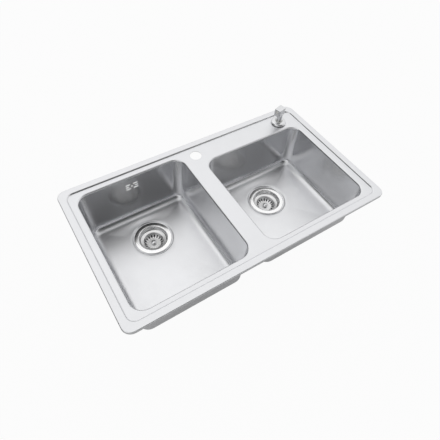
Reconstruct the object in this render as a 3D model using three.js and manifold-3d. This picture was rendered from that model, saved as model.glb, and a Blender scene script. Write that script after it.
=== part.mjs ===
// Double bowl kitchen sink, 800 x 450 mm, for a cut-out in a worktop.
//
// A pressed steel deck with a raised, rolled rim carries a large and a smaller drawn bowl, each
// welded to a neck in the deck. Each bowl has a basket waste, and a soap dispenser stands behind
// the smaller bowl. Units are millimetres, +Z is up, +X runs from the large bowl to the smaller
// one and +Y runs to the back. The origin is the centre of the rim in the plane of the worktop.
import * as THREE from 'three';
import { mergeVertices } from 'three/addons/utils/BufferGeometryUtils.js';
import Module from 'manifold-3d';

// ---- Driving dimensions -------------------------------------------------------------------

const SHEET = 1; // thickness of the deck and of the bowls
const SEAT_GAP = 0.3; // gap left between pieces that touch on the real sink
const CORNER_STEPS = 5; // facets in each rounded corner of a pressing
const TURN_STEPS = 24; // facets round the turned pieces that show
const HIDDEN_STEPS = 16; // and round those below the bowls
const SMALL_STEPS = 12; // and round pins, screws and bores

// Deck and rim
const RIM_CORNER = 25; // plan radius of the outer corners
const RIM_HEIGHT = 7.5; // rim face above the worktop
const RIM_ROLL = 6; // radius of the rolled outer edge
const RIM_BAND = 20.3; // from the outer edge to the middle of the step
const STEP_DROP = 3.5; // the deck lies this far below the rim
const STEP_RUN = 4;
const STEP_CORNER = 22;

// Bowls: openings at their walls, and the deck left round them. They add up to the deck's size.
const MAIN_WIDTH = 318;
const MAIN_LENGTH = 376;
const SIDE_WIDTH = 342;
const TAP_LEDGE = 52; // the side bowl is shorter by this, which leaves room for the tap
const LEFT_MARGIN = 40;
const RIGHT_MARGIN = 44;
const FRONT_MARGIN = 35.5;
const BACK_MARGIN = 38.5;
const DIVIDER = 56; // between the walls of the two bowls
const MAIN_DEPTH = 166; // rim face to the floor at the waste
const SIDE_DEPTH = 156;
const BOWL_CORNER = 34; // plan radius of the walls at the deck
const MOUTH_RADIUS = 5; // deck turning down into a bowl
const NECK_DROP = 5; // straight part of the neck, down to the weld
const NECK_FLAT = 5; // flat of the deck that is laid with a neck, or with the rim
const WALL_DRAFT = 5; // a wall leans in by this from neck to foot
const FOOT_RADIUS = 24; // wall to floor
const FLOOR_FALL = 3; // the floor falls by this towards the waste

// Overflow: rows of slots either side of a screw hole, in the back wall of the main bowl
const OVERFLOW_DROP = 37; // below the deck
const OVERFLOW_REACH = 19; // from the middle to the far end of a slot
const SLOT_STARTS = [4, 9, 4]; // from the middle to the near end, row by row
const SLOT_PITCH = 8.2;
const SLOT_HEIGHT = 3.8;
const OVERFLOW_SCREW_RADIUS = 2.6;

// Holes in the back of the deck
const TAP_LINE = 54; // from the back edge to the middle of the holes
const TAP_FROM_MAIN = 45; // from the main bowl's wall to the middle of the tap hole
const TAP_HOLE_RADIUS = 17.5;
const DISPENSER_FROM_RIGHT = 84; // from the right edge to the middle of the dispenser
const DISPENSER_HOLE_RADIUS = 15;

// Wastes, one in each bowl
const MAIN_WASTE_BACK = 112.5; // from the bowl's back wall to the middle of its waste
const SIDE_WASTE_BACK = 120.5;
const SIDE_WASTE_LEFT = 167; // from the divider's wall to the middle of the waste
const DRAIN_RADIUS = 45; // hole in the floor
const FLANGE_RADIUS = 56;
const FLANGE_RISE = 3.1; // top of the flange above its seat in the floor
const RECESS_DEPTH = 2.5; // the seat is pressed into the floor
const RECESS_MARGIN = 2.5; // round the flange
const FLANGE_BEVEL = 1.6;
const THROAT_RADIUS = 42;
const THROAT_ROLL = 3; // the flange rolls over into the throat
const LEDGE_DROP = 13; // the ledge that the basket rests on, below the seat
const LEDGE_EDGE = 38; // its outer and inner radius
const LEDGE_RADIUS = 31;
const LEDGE_CORNER = 1.5;
const LEDGE_FALL = 1.5; // the ledge falls by this towards the cup
const CUP_RADIUS = 29.8;
const CUP_TAPER = 0.8;
const CUP_CORNER = 3;
const CUP_DEPTH = 42;
const DIMPLE_RADIUS = 9; // holds the head of the centre screw
const DIMPLE_DEPTH = 3;
const OUTLET_COUNT = 6;
const OUTLET_RADIUS = 5.5;
const OUTLET_RING = 17.5;
const SEAL_MARGIN = 1.5; // seal and gasket, from the edge of the hole
const GASKET_HEIGHT = 3;
const SCREW_RADIUS = 2.7;
const SCREW_HEAD_RADIUS = 7;
const SCREW_HEAD_HEIGHT = 4.5;
const SCREW_LENGTH = 36;
const SOCKET_RADIUS = 3.6;
const SOCKET_DEPTH = 4;
const TRAP_THREAD_RADIUS = 23.9; // 1 1/2 inch pipe thread
const TAIL_WALL = 4.2;
const TAIL_LENGTH = 32;
const WASTE_WALL = 3;
const WASTE_CLEARANCE = 3; // between the steel cup and the moulded one
const WASTE_SHOULDER = 20; // seat to the inside of the shoulder
const WASTE_CONE = 12;
const WASTE_FUNNEL = 10; // height of the funnel above the tail
const WASTE_TAPER = 2;
const WASTE_LENGTH = 106; // seat to the end of the tail
const SPIDER_HEIGHT = 18; // the boss for the screw, and its three ribs

// Baskets
const BASKET_SHEET = 0.8;
const BASKET_RADIUS = 37.5;
const BASKET_MOUTH = 27.5;
const BASKET_FOOT = 20;
const BASKET_DEPTH = 32; // below the seat
const BASKET_CLEARANCE = 0.4; // between the basket's rim and the ledge
const BASKET_CORNER = 3;
const BASKET_DISH = 0.8; // the floor rises by this to the middle
const BASKET_SLOTS = 22;
const BASKET_SLOT_WIDTH = 3.2;
const BASKET_SLOT_FOOT = 5; // above the basket's floor
const BASKET_SLOT_TOP = 3.5; // below the cup's mouth
const KNOB_RADIUS = 11.5;
const KNOB_DROP = 10; // top of the knob, below the seat
const KNOB_DOME = 5.4; // height of its domed top
const KNOB_EDGE = 2;
const KNOB_NECK = 5.5; // radius of the neck under it
const KNOB_SOCKET = 9; // end of the stem, below the top
const STEM_RADIUS = 3.1;
const BULB_LENGTH = 3.6; // the stem's end snaps into the centre screw
const BULB_WAIST = 0.8;
const STOPPER_RADIUS = 26.5;
const STOPPER_HEIGHT = 4;
const STOPPER_LIP = 1.6;

// Seal and fixings under the rim, and sound pads under the bowls
const SEAL_INSET = 2;
const SEAL_WIDTH = 9;
const PAD_INSET = 75; // sound pad, from the side walls
const PAD_FRONT = 45;
const PAD_FROM_WASTE = 20;
const PAD_CORNER = 12;
const PAD_THICKNESS = 2;
const CLIP_STEEL = 1.5;
const CLIP_WIDTH = 18;
const BRACKET_LEG = 14;
const BRACKET_FOOT = 12;
const CLAW_DROP = 26; // claw below the worktop's face
const CLAW_LENGTH = 30;
const CLAW_WIDTH = 8;
const CLAW_HOOK = 4; // its end is bent up by this
const CLIP_SCREW_RADIUS = 2;
const CLIP_SCREW_HEAD = 2.5;

// Soap dispenser
const COLLAR_RADIUS = 24;
const COLLAR_HEIGHT = 7;
const COLLAR_EDGE = 1.5; // upright edge below the dome
const WASHER_HEIGHT = 1.2;
const SHANK_RADIUS = 14;
const SHANK_BORE = 11;
const SHANK_LENGTH = 34; // below the deck
const NUT_RADIUS = 24;
const NUT_HEIGHT = 9;
const NUT_GRIP = 4; // the grips stand out from the core by this
const NUT_GRIPS = 6;
const NUT_FLANGE = 2.5;
const BOTTLE_RADIUS = 29;
const BOTTLE_BOTTOM = 150; // below the worktop
const BOTTLE_WALL = 1.5;
const BOTTLE_SHOULDER = 10;
const BOTTLE_FOOT = 5;
const LIP_SEAT = 2; // the pump's lip is sunk into the collar by this
const LIP_WIDTH = 1.3;
const LIP_HEIGHT = 1.4;
const SLEEVE_RADIUS = 9;
const SLEEVE_WALL = 2;
const SLEEVE_OVERLAP = 4; // length of the sleeve inside the collar with the pump up
const PUMP_TRAVEL = 12;
const PUMP_WALL = 1.8;
const PISTON_RADIUS = 5.7;
const PISTON_HEIGHT = 5;
const PUMP_STEM_RADIUS = 3;
const STEM_BORE = 1.2;
const SPRING_LENGTH = 24;
const SPRING_RADIUS = 4.6;
const SPRING_WIRE = 0.55;
const SPRING_TURNS = 5;
const NIPPLE_RADIUS = 2.2; // the dip tube is pushed over this
const NIPPLE_CONE = 3;
const NIPPLE_LENGTH = 5;
const TUBE_WALL = 0.9;
const HEAD_LENGTH = 31;
const HEAD_WIDTH = 21;
const HEAD_HEIGHT = 23.5;
const HEAD_TOP = 64; // above the worktop
const HEAD_REACH = 22; // from the pump's axis to the spout end
const HEAD_TURN = 15; // degrees, as the head was left standing
const HEAD_ROUND = 3;
const HEAD_BEVEL = 1.2;
const STEM_SOCKET = 9; // length of the stem inside the head
const SPOUT_DROP = 8; // middle of the outlet below the head's top
const SPOUT_RADIUS = 5;
const SPOUT_LENGTH = 8; // of the outlet inside the head
const SPOUT_PROUD = 1.5;
const PASSAGE_RADIUS = 2;

// ---- Places worked out from them ----------------------------------------------------------

const DECK_FACE = RIM_HEIGHT - STEP_DROP;
const DECK_BACK = DECK_FACE - SHEET;
const WELD_LEVEL = DECK_FACE - MOUTH_RADIUS - NECK_DROP;

const halfWidth = (LEFT_MARGIN + MAIN_WIDTH + DIVIDER + SIDE_WIDTH + RIGHT_MARGIN) / 2;
const halfDepth = (FRONT_MARGIN + MAIN_LENGTH + BACK_MARGIN) / 2;
const rimRect = { x0: -halfWidth, x1: halfWidth, y0: -halfDepth, y1: halfDepth };
const mainX = rimRect.x0 + LEFT_MARGIN;
const sideX = mainX + MAIN_WIDTH + DIVIDER;
const bowlFront = rimRect.y0 + FRONT_MARGIN;
const mainBack = bowlFront + MAIN_LENGTH;
const mainRect = { x0: mainX, x1: mainX + MAIN_WIDTH, y0: bowlFront, y1: mainBack };
const sideRect = { x0: sideX, x1: sideX + SIDE_WIDTH, y0: bowlFront, y1: mainBack - TAP_LEDGE };

const holeY = rimRect.y1 - TAP_LINE;
const tapX = mainRect.x1 + TAP_FROM_MAIN;
const dispenserX = rimRect.x1 - DISPENSER_FROM_RIGHT;

// Each bowl's floor level at the waste, the middle of its waste and the seat of the flange.
const mainBowl = {
  rect: mainRect,
  floor: RIM_HEIGHT - MAIN_DEPTH,
  drain: new THREE.Vector2((mainRect.x0 + mainRect.x1) / 2, mainRect.y1 - MAIN_WASTE_BACK),
};
const sideBowl = {
  rect: sideRect,
  floor: RIM_HEIGHT - SIDE_DEPTH,
  drain: new THREE.Vector2(sideRect.x0 + SIDE_WASTE_LEFT, sideRect.y1 - SIDE_WASTE_BACK),
};
for (const bowl of [mainBowl, sideBowl]) bowl.seat = bowl.floor - RECESS_DEPTH;

// ---- Materials ----------------------------------------------------------------------------

function finish(color, metalness, roughness) {
  return { color, metalness, roughness };
}
const SATIN_STEEL = finish(0xc9cacb, 1, 0.34);
const POLISHED_STEEL = finish(0xd8d9da, 1, 0.12);
const CHROME = finish(0xdfe0e2, 1, 0.06);
const ZINC_STEEL = finish(0xa9adb0, 1, 0.45);
const DARK_RUBBER = finish(0x26272a, 0, 0.8);
const FOAM = finish(0x3a3b3e, 0, 0.95);
const WHITE_PLASTIC = finish(0xe6e6e2, 0, 0.45);
const CLEAR_PLASTIC = finish(0xd9dedd, 0, 0.3);

// ---- Closed bodies ------------------------------------------------------------------------

const wasm = await Module();
wasm.setup();

// A surface being put together from loops of points, closed by the time it is finished.
class Skin {
  constructor() {
    this.points = [];
    this.faces = [];
  }

  loop(points) {
    const first = this.points.length;
    this.points.push(...points);
    return points.map((_, i) => first + i);
  }

  // Joins two loops of the same count with a band of quads.
  band(a, b) {
    for (let i = 0; i < a.length; i++) {
      const j = (i + 1) % a.length;
      this.faces.push([a[i], a[j], b[j]], [a[i], b[j], b[i]]);
    }
  }

  // Joins two loops of any counts round a centre. Each edge is joined to the point of the other
  // loop that its middle faces.
  fan(a, b, centre) {
    const angle = (i) => Math.atan2(this.points[i].y - centre.y, this.points[i].x - centre.x);
    const inOrder = (loop) => loop.map((i) => ({ i, at: angle(i) })).sort((p, q) => p.at - q.at);
    const p = inOrder(a);
    const q = inOrder(b);
    const turn = (list, n) => list[n % list.length].at + 2 * Math.PI * Math.floor(n / list.length);
    const middle = (list, n) => turn(list, n) + turn(list, n + 1);
    let i = 0;
    let j = 0;
    while (i < p.length || j < q.length) {
      const here = p[i % p.length].i;
      const there = q[j % q.length].i;
      const stepA = j >= q.length || (i < p.length && middle(p, i) <= middle(q, j));
      if (stepA) {
        i += 1;
        this.faces.push([here, p[i % p.length].i, there]);
      } else {
        j += 1;
        this.faces.push([here, q[j % q.length].i, there]);
      }
    }
  }

  // Closes a flat convex loop.
  cap(loop) {
    for (let i = 1; i < loop.length - 1; i++) this.faces.push([loop[0], loop[i], loop[i + 1]]);
  }

  turnOver() {
    this.faces = this.faces.map(([a, b, c]) => [a, c, b]);
  }

  geometry() {
    const volume = this.faces.reduce((sum, face) => {
      const [a, b, c] = face.map((i) => this.points[i]);
      return sum + new THREE.Vector3().crossVectors(b, c).dot(a);
    }, 0);
    const faces = volume < 0 ? this.faces.map(([a, b, c]) => [a, c, b]) : this.faces;
    const shape = new THREE.BufferGeometry();
    shape.setAttribute('position', new THREE.Float32BufferAttribute(
      this.points.flatMap((p) => [p.x, p.y, p.z]), 3));
    shape.setIndex(faces.flat());
    return shape;
  }
}

function withMergedPoints(shape) {
  const bare = shape.clone();
  bare.deleteAttribute('normal');
  bare.deleteAttribute('uv');
  return mergeVertices(bare, 1e-4);
}

function toManifold(shape) {
  const merged = withMergedPoints(shape);
  return new wasm.Manifold(new wasm.Mesh({
    numProp: 3,
    vertProperties: new Float32Array(merged.attributes.position.array),
    triVerts: new Uint32Array(merged.index.array),
  }));
}

function fromManifold(body) {
  const mesh = body.getMesh();
  const shape = new THREE.BufferGeometry();
  shape.setAttribute('position', new THREE.Float32BufferAttribute(mesh.vertProperties, 3));
  shape.setIndex([...mesh.triVerts]);
  return shape;
}

function joined(...shapes) {
  return fromManifold(shapes.map(toManifold).reduce((sum, body) => sum.add(body)));
}

function cut(shape, ...tools) {
  return fromManifold(tools.map(toManifold).reduce((rest, tool) => rest.subtract(tool), toManifold(shape)));
}

// ---- Outlines -----------------------------------------------------------------------------

const at = (x, y) => new THREE.Vector2(x, y);

// Points on an arc, in degrees, both ends included.
function arc(x, y, radius, from, to, steps) {
  return Array.from({ length: steps + 1 }, (_, i) => {
    const angle = THREE.MathUtils.degToRad(from + ((to - from) * i) / steps);
    return at(x + radius * Math.cos(angle), y + radius * Math.sin(angle));
  });
}

// The closed outline of a sheet, from the line of one face; its thickness is laid to the right
// of the direction in which the line is drawn.
function sheetOutline(line, thickness) {
  const normals = line.slice(1).map((p, i) => {
    const along = p.clone().sub(line[i]).normalize();
    return at(along.y, -along.x);
  });
  const back = line.map((p, i) => {
    const a = normals[Math.max(i - 1, 0)];
    const b = normals[Math.min(i, normals.length - 1)];
    const mid = a.clone().add(b).normalize();
    return p.clone().addScaledVector(mid, thickness / mid.dot(a));
  });
  return [...line, ...back.reverse()];
}

const shrink = (r, d) => ({ x0: r.x0 + d, x1: r.x1 - d, y0: r.y0 + d, y1: r.y1 - d });

// A rounded rectangle of points, anticlockwise.
function roundedLoop(rect, radius, z) {
  const r = Math.max(radius, 0.5);
  const corners = [
    [rect.x1 - r, rect.y1 - r, 0],
    [rect.x0 + r, rect.y1 - r, 90],
    [rect.x0 + r, rect.y0 + r, 180],
    [rect.x1 - r, rect.y0 + r, 270],
  ];
  return corners
    .flatMap(([x, y, from]) => arc(x, y, r, from, from + 90, CORNER_STEPS))
    .map((p) => new THREE.Vector3(p.x, p.y, z));
}

function circleLoop(centre, radius, z, steps = TURN_STEPS) {
  return arc(centre.x, centre.y, radius, 0, 360, steps)
    .slice(1)
    .map((p) => new THREE.Vector3(p.x, p.y, z));
}

// Sweeps a closed outline of (inset, height) points round a rounded rectangle. cornerAt gives the
// corner radius at each inset.
function sweptFrame(rect, outline, cornerAt) {
  const skin = new Skin();
  const loops = outline.map((p) => skin.loop(roundedLoop(shrink(rect, p.x), cornerAt(p.x), p.y)));
  loops.forEach((loop, i) => skin.band(loop, loops[(i + 1) % loops.length]));
  return skin.geometry();
}

function loopToPath(points) {
  const path = new THREE.Path();
  path.setFromPoints(points.map((p) => at(p.x, p.y)));
  path.closePath();
  return path;
}

function plate(outer, holes, z, thickness) {
  const shape = new THREE.Shape(outer.map((p) => at(p.x, p.y)));
  shape.holes = holes.map(loopToPath);
  return new THREE.ExtrudeGeometry(shape, { depth: thickness, bevelEnabled: false }).translate(0, 0, z);
}

// A turned piece from its half outline, which ends on the axis or closes on itself. Slivers on
// the axis are dropped.
function turned(outline, steps = TURN_STEPS) {
  const closed = outline[0].x === 0 && outline.at(-1).x === 0;
  const points = closed ? outline : [...outline, outline[0].clone()];
  const lathe = withMergedPoints(new THREE.LatheGeometry(points, steps).rotateX(Math.PI / 2));
  const skin = new Skin();
  const position = lathe.attributes.position;
  for (let i = 0; i < position.count; i++) {
    skin.points.push(new THREE.Vector3().fromBufferAttribute(position, i));
  }
  for (let i = 0; i < lathe.index.count; i += 3) {
    const face = [0, 1, 2].map((corner) => lathe.index.getX(i + corner));
    if (new Set(face).size === 3) skin.faces.push(face);
  }
  return skin.geometry();
}

const tubeOutline = (inner, outer, low, high) => [
  at(inner, low), at(outer, low), at(outer, high), at(inner, high)];

function ring(inner, outer, low, high, steps) {
  return turned(tubeOutline(inner, outer, low, high), steps);
}

function rod(radius, low, high, steps = TURN_STEPS) {
  return new THREE.CylinderGeometry(radius, radius, high - low, steps)
    .rotateX(Math.PI / 2)
    .translate(0, 0, (low + high) / 2);
}

function box(x0, x1, y0, y1, z0, z1) {
  return new THREE.BoxGeometry(x1 - x0, y1 - y0, z1 - z0)
    .translate((x0 + x1) / 2, (y0 + y1) / 2, (z0 + z1) / 2);
}

// ---- Deck ---------------------------------------------------------------------------------

// Plan radius of the rim's corners at an inset: concentric over the roll and past the step, and
// growing a little across the band between them.
function rimCornerAt(inset) {
  if (inset <= RIM_ROLL) return RIM_CORNER - inset;
  if (inset >= RIM_BAND) return STEP_CORNER - (inset - RIM_BAND);
  return THREE.MathUtils.mapLinear(inset, RIM_ROLL, RIM_BAND, RIM_CORNER - RIM_ROLL, STEP_CORNER);
}

// The rim: rolled outer edge, flat band and the step down to the deck.
function rim() {
  const roll = arc(RIM_ROLL, RIM_HEIGHT - RIM_ROLL, RIM_ROLL, 180, 90, 3);
  const stepStart = RIM_BAND - STEP_RUN / 2;
  const stepEnd = RIM_BAND + STEP_RUN / 2;
  const face = [
    at(0, 0),
    ...roll,
    at(stepStart, RIM_HEIGHT),
    at(stepStart + STEP_RUN / 4, RIM_HEIGHT - STEP_DROP / 6),
    at(stepEnd - STEP_RUN / 4, DECK_FACE + STEP_DROP / 6),
    at(stepEnd, DECK_FACE),
    at(stepEnd + NECK_FLAT, DECK_FACE),
  ];
  return sweptFrame(rimRect, sheetOutline(face, SHEET), rimCornerAt);
}

// A neck: the deck turns down into the opening, as far as the weld.
function neck(rect) {
  const face = [
    at(-MOUTH_RADIUS - NECK_FLAT, DECK_FACE),
    ...arc(-MOUTH_RADIUS, DECK_FACE - MOUTH_RADIUS, MOUTH_RADIUS, 90, 0, 3),
    at(0, WELD_LEVEL),
  ];
  return sweptFrame(rect, sheetOutline(face, SHEET), (inset) => BOWL_CORNER - inset);
}

function topDeck() {
  const edge = RIM_BAND + STEP_RUN / 2 + NECK_FLAT / 2;
  const reach = MOUTH_RADIUS + NECK_FLAT / 2;
  const outer = roundedLoop(shrink(rimRect, edge), rimCornerAt(edge), 0);
  const mouth = (rect) => roundedLoop(shrink(rect, -reach), BOWL_CORNER + reach, 0);
  const holes = [
    mouth(mainRect),
    mouth(sideRect),
    circleLoop(at(tapX, holeY), TAP_HOLE_RADIUS, 0),
    circleLoop(at(dispenserX, holeY), DISPENSER_HOLE_RADIUS, 0),
  ];
  const flat = plate(outer, holes, DECK_BACK, SHEET);
  return joined(flat, rim(), neck(mainRect), neck(sideRect));
}

// ---- Bowls --------------------------------------------------------------------------------

// One side of a bowl's sheet, as (inset, height) points from the weld down to the floor.
function wallLine(footLevel, radius, offset) {
  const centreX = WALL_DRAFT + FOOT_RADIUS;
  const centreZ = footLevel + FOOT_RADIUS;
  return [
    at(-offset, WELD_LEVEL - SEAT_GAP),
    ...arc(centreX, centreZ, radius, 180, 270, 5),
  ];
}

// The floor's seat for the waste, as (radius, height) points from the floor to the drain hole.
function seatLine(floor, offset) {
  const seatRadius = FLANGE_RADIUS + RECESS_MARGIN + offset;
  return [
    at(seatRadius + RECESS_DEPTH, floor - offset),
    at(seatRadius, floor - RECESS_DEPTH - offset),
    at(DRAIN_RADIUS, floor - RECESS_DEPTH - offset),
  ];
}

// Lays one face of the bowl's sheet and gives back the loops at its top and at the drain hole.
function bowlFace(skin, bowl, offset) {
  const wall = wallLine(bowl.floor + FLOOR_FALL, FOOT_RADIUS + offset, offset).map((p) =>
    skin.loop(roundedLoop(shrink(bowl.rect, p.x), BOWL_CORNER - p.x, p.y)));
  const seat = seatLine(bowl.floor, offset).map((p) =>
    skin.loop(circleLoop(bowl.drain, p.x, p.y)));
  wall.slice(1).forEach((loop, i) => skin.band(wall[i], loop));
  skin.fan(wall.at(-1), seat[0], bowl.drain);
  seat.slice(1).forEach((loop, i) => skin.band(seat[i], loop));
  return { top: wall[0], hole: seat.at(-1) };
}

function drawnBowl(bowl) {
  const skin = new Skin();
  const outside = bowlFace(skin, bowl, SHEET);
  skin.turnOver();
  const inside = bowlFace(skin, bowl, 0);
  skin.band(outside.top, inside.top);
  skin.band(inside.hole, outside.hole);
  return skin.geometry();
}

// All the space inside a bowl's outer face, lowered by a distance.
function bowlSpace(bowl, lowered) {
  const skin = new Skin();
  const face = bowlFace(skin, bowl, SHEET);
  skin.cap(face.hole);
  skin.turnOver();
  skin.cap(face.top);
  return skin.geometry().translate(0, 0, -lowered);
}

// Sound-deadening pad glued under the floor in front of the waste, bent to the floor's fall.
function soundPad(bowl) {
  const rect = {
    x0: bowl.rect.x0 + PAD_INSET,
    x1: bowl.rect.x1 - PAD_INSET,
    y0: bowl.rect.y0 + PAD_FRONT,
    y1: bowl.drain.y - FLANGE_RADIUS - PAD_FROM_WASTE,
  };
  const block = plate(roundedLoop(rect, PAD_CORNER, 0), [], bowl.seat - FLOOR_FALL, 4 * FLOOR_FALL);
  return fromManifold(toManifold(block)
    .intersect(toManifold(bowlSpace(bowl, SEAT_GAP + PAD_THICKNESS)))
    .subtract(toManifold(bowlSpace(bowl, SEAT_GAP))));
}

// A slot with round ends, along X, as a tool that cuts through a wall facing Y.
function slotTool(from, to, z, y) {
  const r = SLOT_HEIGHT / 2;
  const outline = [
    ...arc(to - r, 0, r, -90, 90, 4),
    ...arc(from + r, 0, r, 90, 270, 4),
  ];
  const depth = 4 * WALL_DRAFT;
  return new THREE.ExtrudeGeometry(new THREE.Shape(outline), { depth, bevelEnabled: false })
    .rotateX(Math.PI / 2)
    .translate(0, y + depth / 2, z);
}

function overflowTools() {
  const middle = (mainRect.x0 + mainRect.x1) / 2;
  const level = DECK_FACE - OVERFLOW_DROP;
  const slots = SLOT_STARTS.flatMap((start, row) => {
    const z = level + (1 - row) * SLOT_PITCH;
    return [
      slotTool(middle + start, middle + OVERFLOW_REACH, z, mainRect.y1),
      slotTool(middle - OVERFLOW_REACH, middle - start, z, mainRect.y1),
    ];
  });
  const r = OVERFLOW_SCREW_RADIUS;
  const screwHole = new THREE.CylinderGeometry(r, r, 4 * WALL_DRAFT, SMALL_STEPS)
    .translate(middle, mainRect.y1, level);
  return [...slots, screwHole];
}

// ---- Seal and fixings under the rim -------------------------------------------------------

// Foam seal on the worktop, tucked up under the roll.
function rimSeal() {
  const top = RIM_HEIGHT - SHEET - SEAT_GAP;
  const outer = SEAL_INSET;
  const outline = [
    at(outer, 0),
    at(outer + SEAL_WIDTH, 0),
    at(outer + SEAL_WIDTH, top),
    at(RIM_ROLL + SEAT_GAP, top),
    at(outer, top - RIM_ROLL / 3),
  ];
  return sweptFrame(rimRect, outline, rimCornerAt);
}

// Where the fixings stand: a point on the outer edge and the turn that makes +Y look inwards.
function clipPlaces() {
  const alongX = [(mainRect.x0 + mainRect.x1) / 2, (sideRect.x0 + sideRect.x1) / 2];
  const front = alongX.map((x) => ({ x, y: rimRect.y0, turn: 0 }));
  const back = alongX.map((x) => ({ x, y: rimRect.y1, turn: Math.PI }));
  const left = { x: rimRect.x0, y: 0, turn: -Math.PI / 2 };
  const right = { x: rimRect.x1, y: 0, turn: Math.PI / 2 };
  return [...front, ...back, left, right];
}

// In the next three, Y is the distance inwards from the outer edge.
const narrowestMargin = Math.min(LEFT_MARGIN, RIGHT_MARGIN, FRONT_MARGIN, BACK_MARGIN);
const tabStart = RIM_BAND + STEP_RUN / 2 + 1;
const tabEnd = narrowestMargin - MOUTH_RADIUS - SEAT_GAP;
const clipScrewY = tabStart - BRACKET_FOOT / 2;
const footLevel = DECK_BACK - BRACKET_LEG;

// Z-shaped bracket: tab spot-welded under the deck, leg, and a foot with the screw's thread.
function clipBracket() {
  const line = [
    at(tabEnd, DECK_BACK - SEAT_GAP),
    at(tabStart, DECK_BACK - SEAT_GAP),
    at(tabStart, footLevel),
    at(tabStart - BRACKET_FOOT, footLevel),
  ];
  const profile = new THREE.Shape(sheetOutline(line, -CLIP_STEEL));
  const strip = new THREE.ExtrudeGeometry(profile, { depth: CLIP_WIDTH, bevelEnabled: false })
    .rotateX(Math.PI / 2)
    .rotateZ(Math.PI / 2)
    .translate(-CLIP_WIDTH / 2, 0, 0);
  return cut(strip, clipHole());
}

// Hole for the clip's screw, as a tool.
function clipHole() {
  return rod(CLIP_SCREW_RADIUS + SEAT_GAP, -2 * CLAW_DROP, 0, SMALL_STEPS).translate(0, clipScrewY, 0);
}

// The claw that is swung under the worktop; it stands parked along the rim.
function clipClaw() {
  const tail = -CLAW_WIDTH;
  const bend = tail + CLAW_LENGTH - CLAW_HOOK;
  const line = [
    at(tail, -CLAW_DROP),
    at(bend, -CLAW_DROP),
    at(bend + 1.5 * CLAW_HOOK, -CLAW_DROP + CLAW_HOOK),
  ];
  const profile = new THREE.Shape(sheetOutline(line, CLIP_STEEL));
  const strip = new THREE.ExtrudeGeometry(profile, { depth: CLAW_WIDTH, bevelEnabled: false })
    .rotateX(Math.PI / 2)
    .translate(0, clipScrewY + CLAW_WIDTH / 2, 0);
  return cut(strip, clipHole());
}

// Its head is below the claw, and its end stands out above the bracket's foot.
function clipScrew() {
  const end = footLevel + 2 * CLIP_SCREW_RADIUS;
  const headTop = -CLAW_DROP - CLIP_STEEL - SEAT_GAP;
  const headFace = headTop - CLIP_SCREW_HEAD;
  return turned([
    at(0, end),
    at(CLIP_SCREW_RADIUS, end),
    at(CLIP_SCREW_RADIUS, headTop),
    at(2 * CLIP_SCREW_RADIUS, headTop),
    at(2 * CLIP_SCREW_RADIUS, headFace),
    at(0, headFace),
  ], SMALL_STEPS).translate(0, clipScrewY, 0);
}

// ---- Basket waste -------------------------------------------------------------------------
// All heights here are measured from the flange's seat in the floor.

const cupMouth = -LEDGE_DROP - LEDGE_FALL;
const cupFloor = -CUP_DEPTH;
const dimpleFloor = cupFloor - DIMPLE_DEPTH;
const sealTop = FLANGE_RISE - SHEET - SEAT_GAP;
const basketFloor = -BASKET_DEPTH;

// Pressed steel body: rolled flange, throat, ledge for the basket, cup, and a dimple for the
// centre screw's head. Its outlets lie under the stopper.
function strainerBody() {
  const face = [
    at(FLANGE_RADIUS, SEAT_GAP),
    at(FLANGE_RADIUS, FLANGE_RISE - FLANGE_BEVEL),
    at(FLANGE_RADIUS - FLANGE_BEVEL, FLANGE_RISE),
    ...arc(THROAT_RADIUS + THROAT_ROLL, FLANGE_RISE - THROAT_ROLL, THROAT_ROLL, 90, 180, 2),
    at(LEDGE_EDGE + LEDGE_CORNER, -LEDGE_DROP + LEDGE_CORNER),
    at(LEDGE_EDGE, -LEDGE_DROP),
    at(LEDGE_RADIUS, cupMouth),
    at(CUP_RADIUS, cupMouth - CUP_CORNER / 2),
    at(CUP_RADIUS - CUP_TAPER, cupFloor + CUP_CORNER),
    at(CUP_RADIUS - CUP_TAPER - CUP_CORNER, cupFloor),
    at(DIMPLE_RADIUS + SHEET, cupFloor),
    at(DIMPLE_RADIUS, dimpleFloor),
    at(SCREW_RADIUS + 2 * SEAT_GAP, dimpleFloor),
  ];
  const outlets = Array.from({ length: OUTLET_COUNT }, (_, i) => {
    const angle = (2 * Math.PI * i) / OUTLET_COUNT;
    return rod(OUTLET_RADIUS, cupFloor - 3 * SHEET, cupFloor + 3 * SHEET, SMALL_STEPS)
      .translate(OUTLET_RING * Math.cos(angle), OUTLET_RING * Math.sin(angle), 0);
  });
  return cut(turned(sheetOutline(face, -SHEET)), ...outlets);
}

function flangeSeal() {
  const outer = FLANGE_RADIUS - FLANGE_BEVEL - SHEET;
  return ring(DRAIN_RADIUS + SEAL_MARGIN, outer, SEAT_GAP, sealTop, HIDDEN_STEPS);
}

function floorGasket() {
  const top = -SHEET - SEAT_GAP;
  return ring(DRAIN_RADIUS + SEAL_MARGIN, FLANGE_RADIUS, top - GASKET_HEIGHT, top, HIDDEN_STEPS);
}

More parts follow.
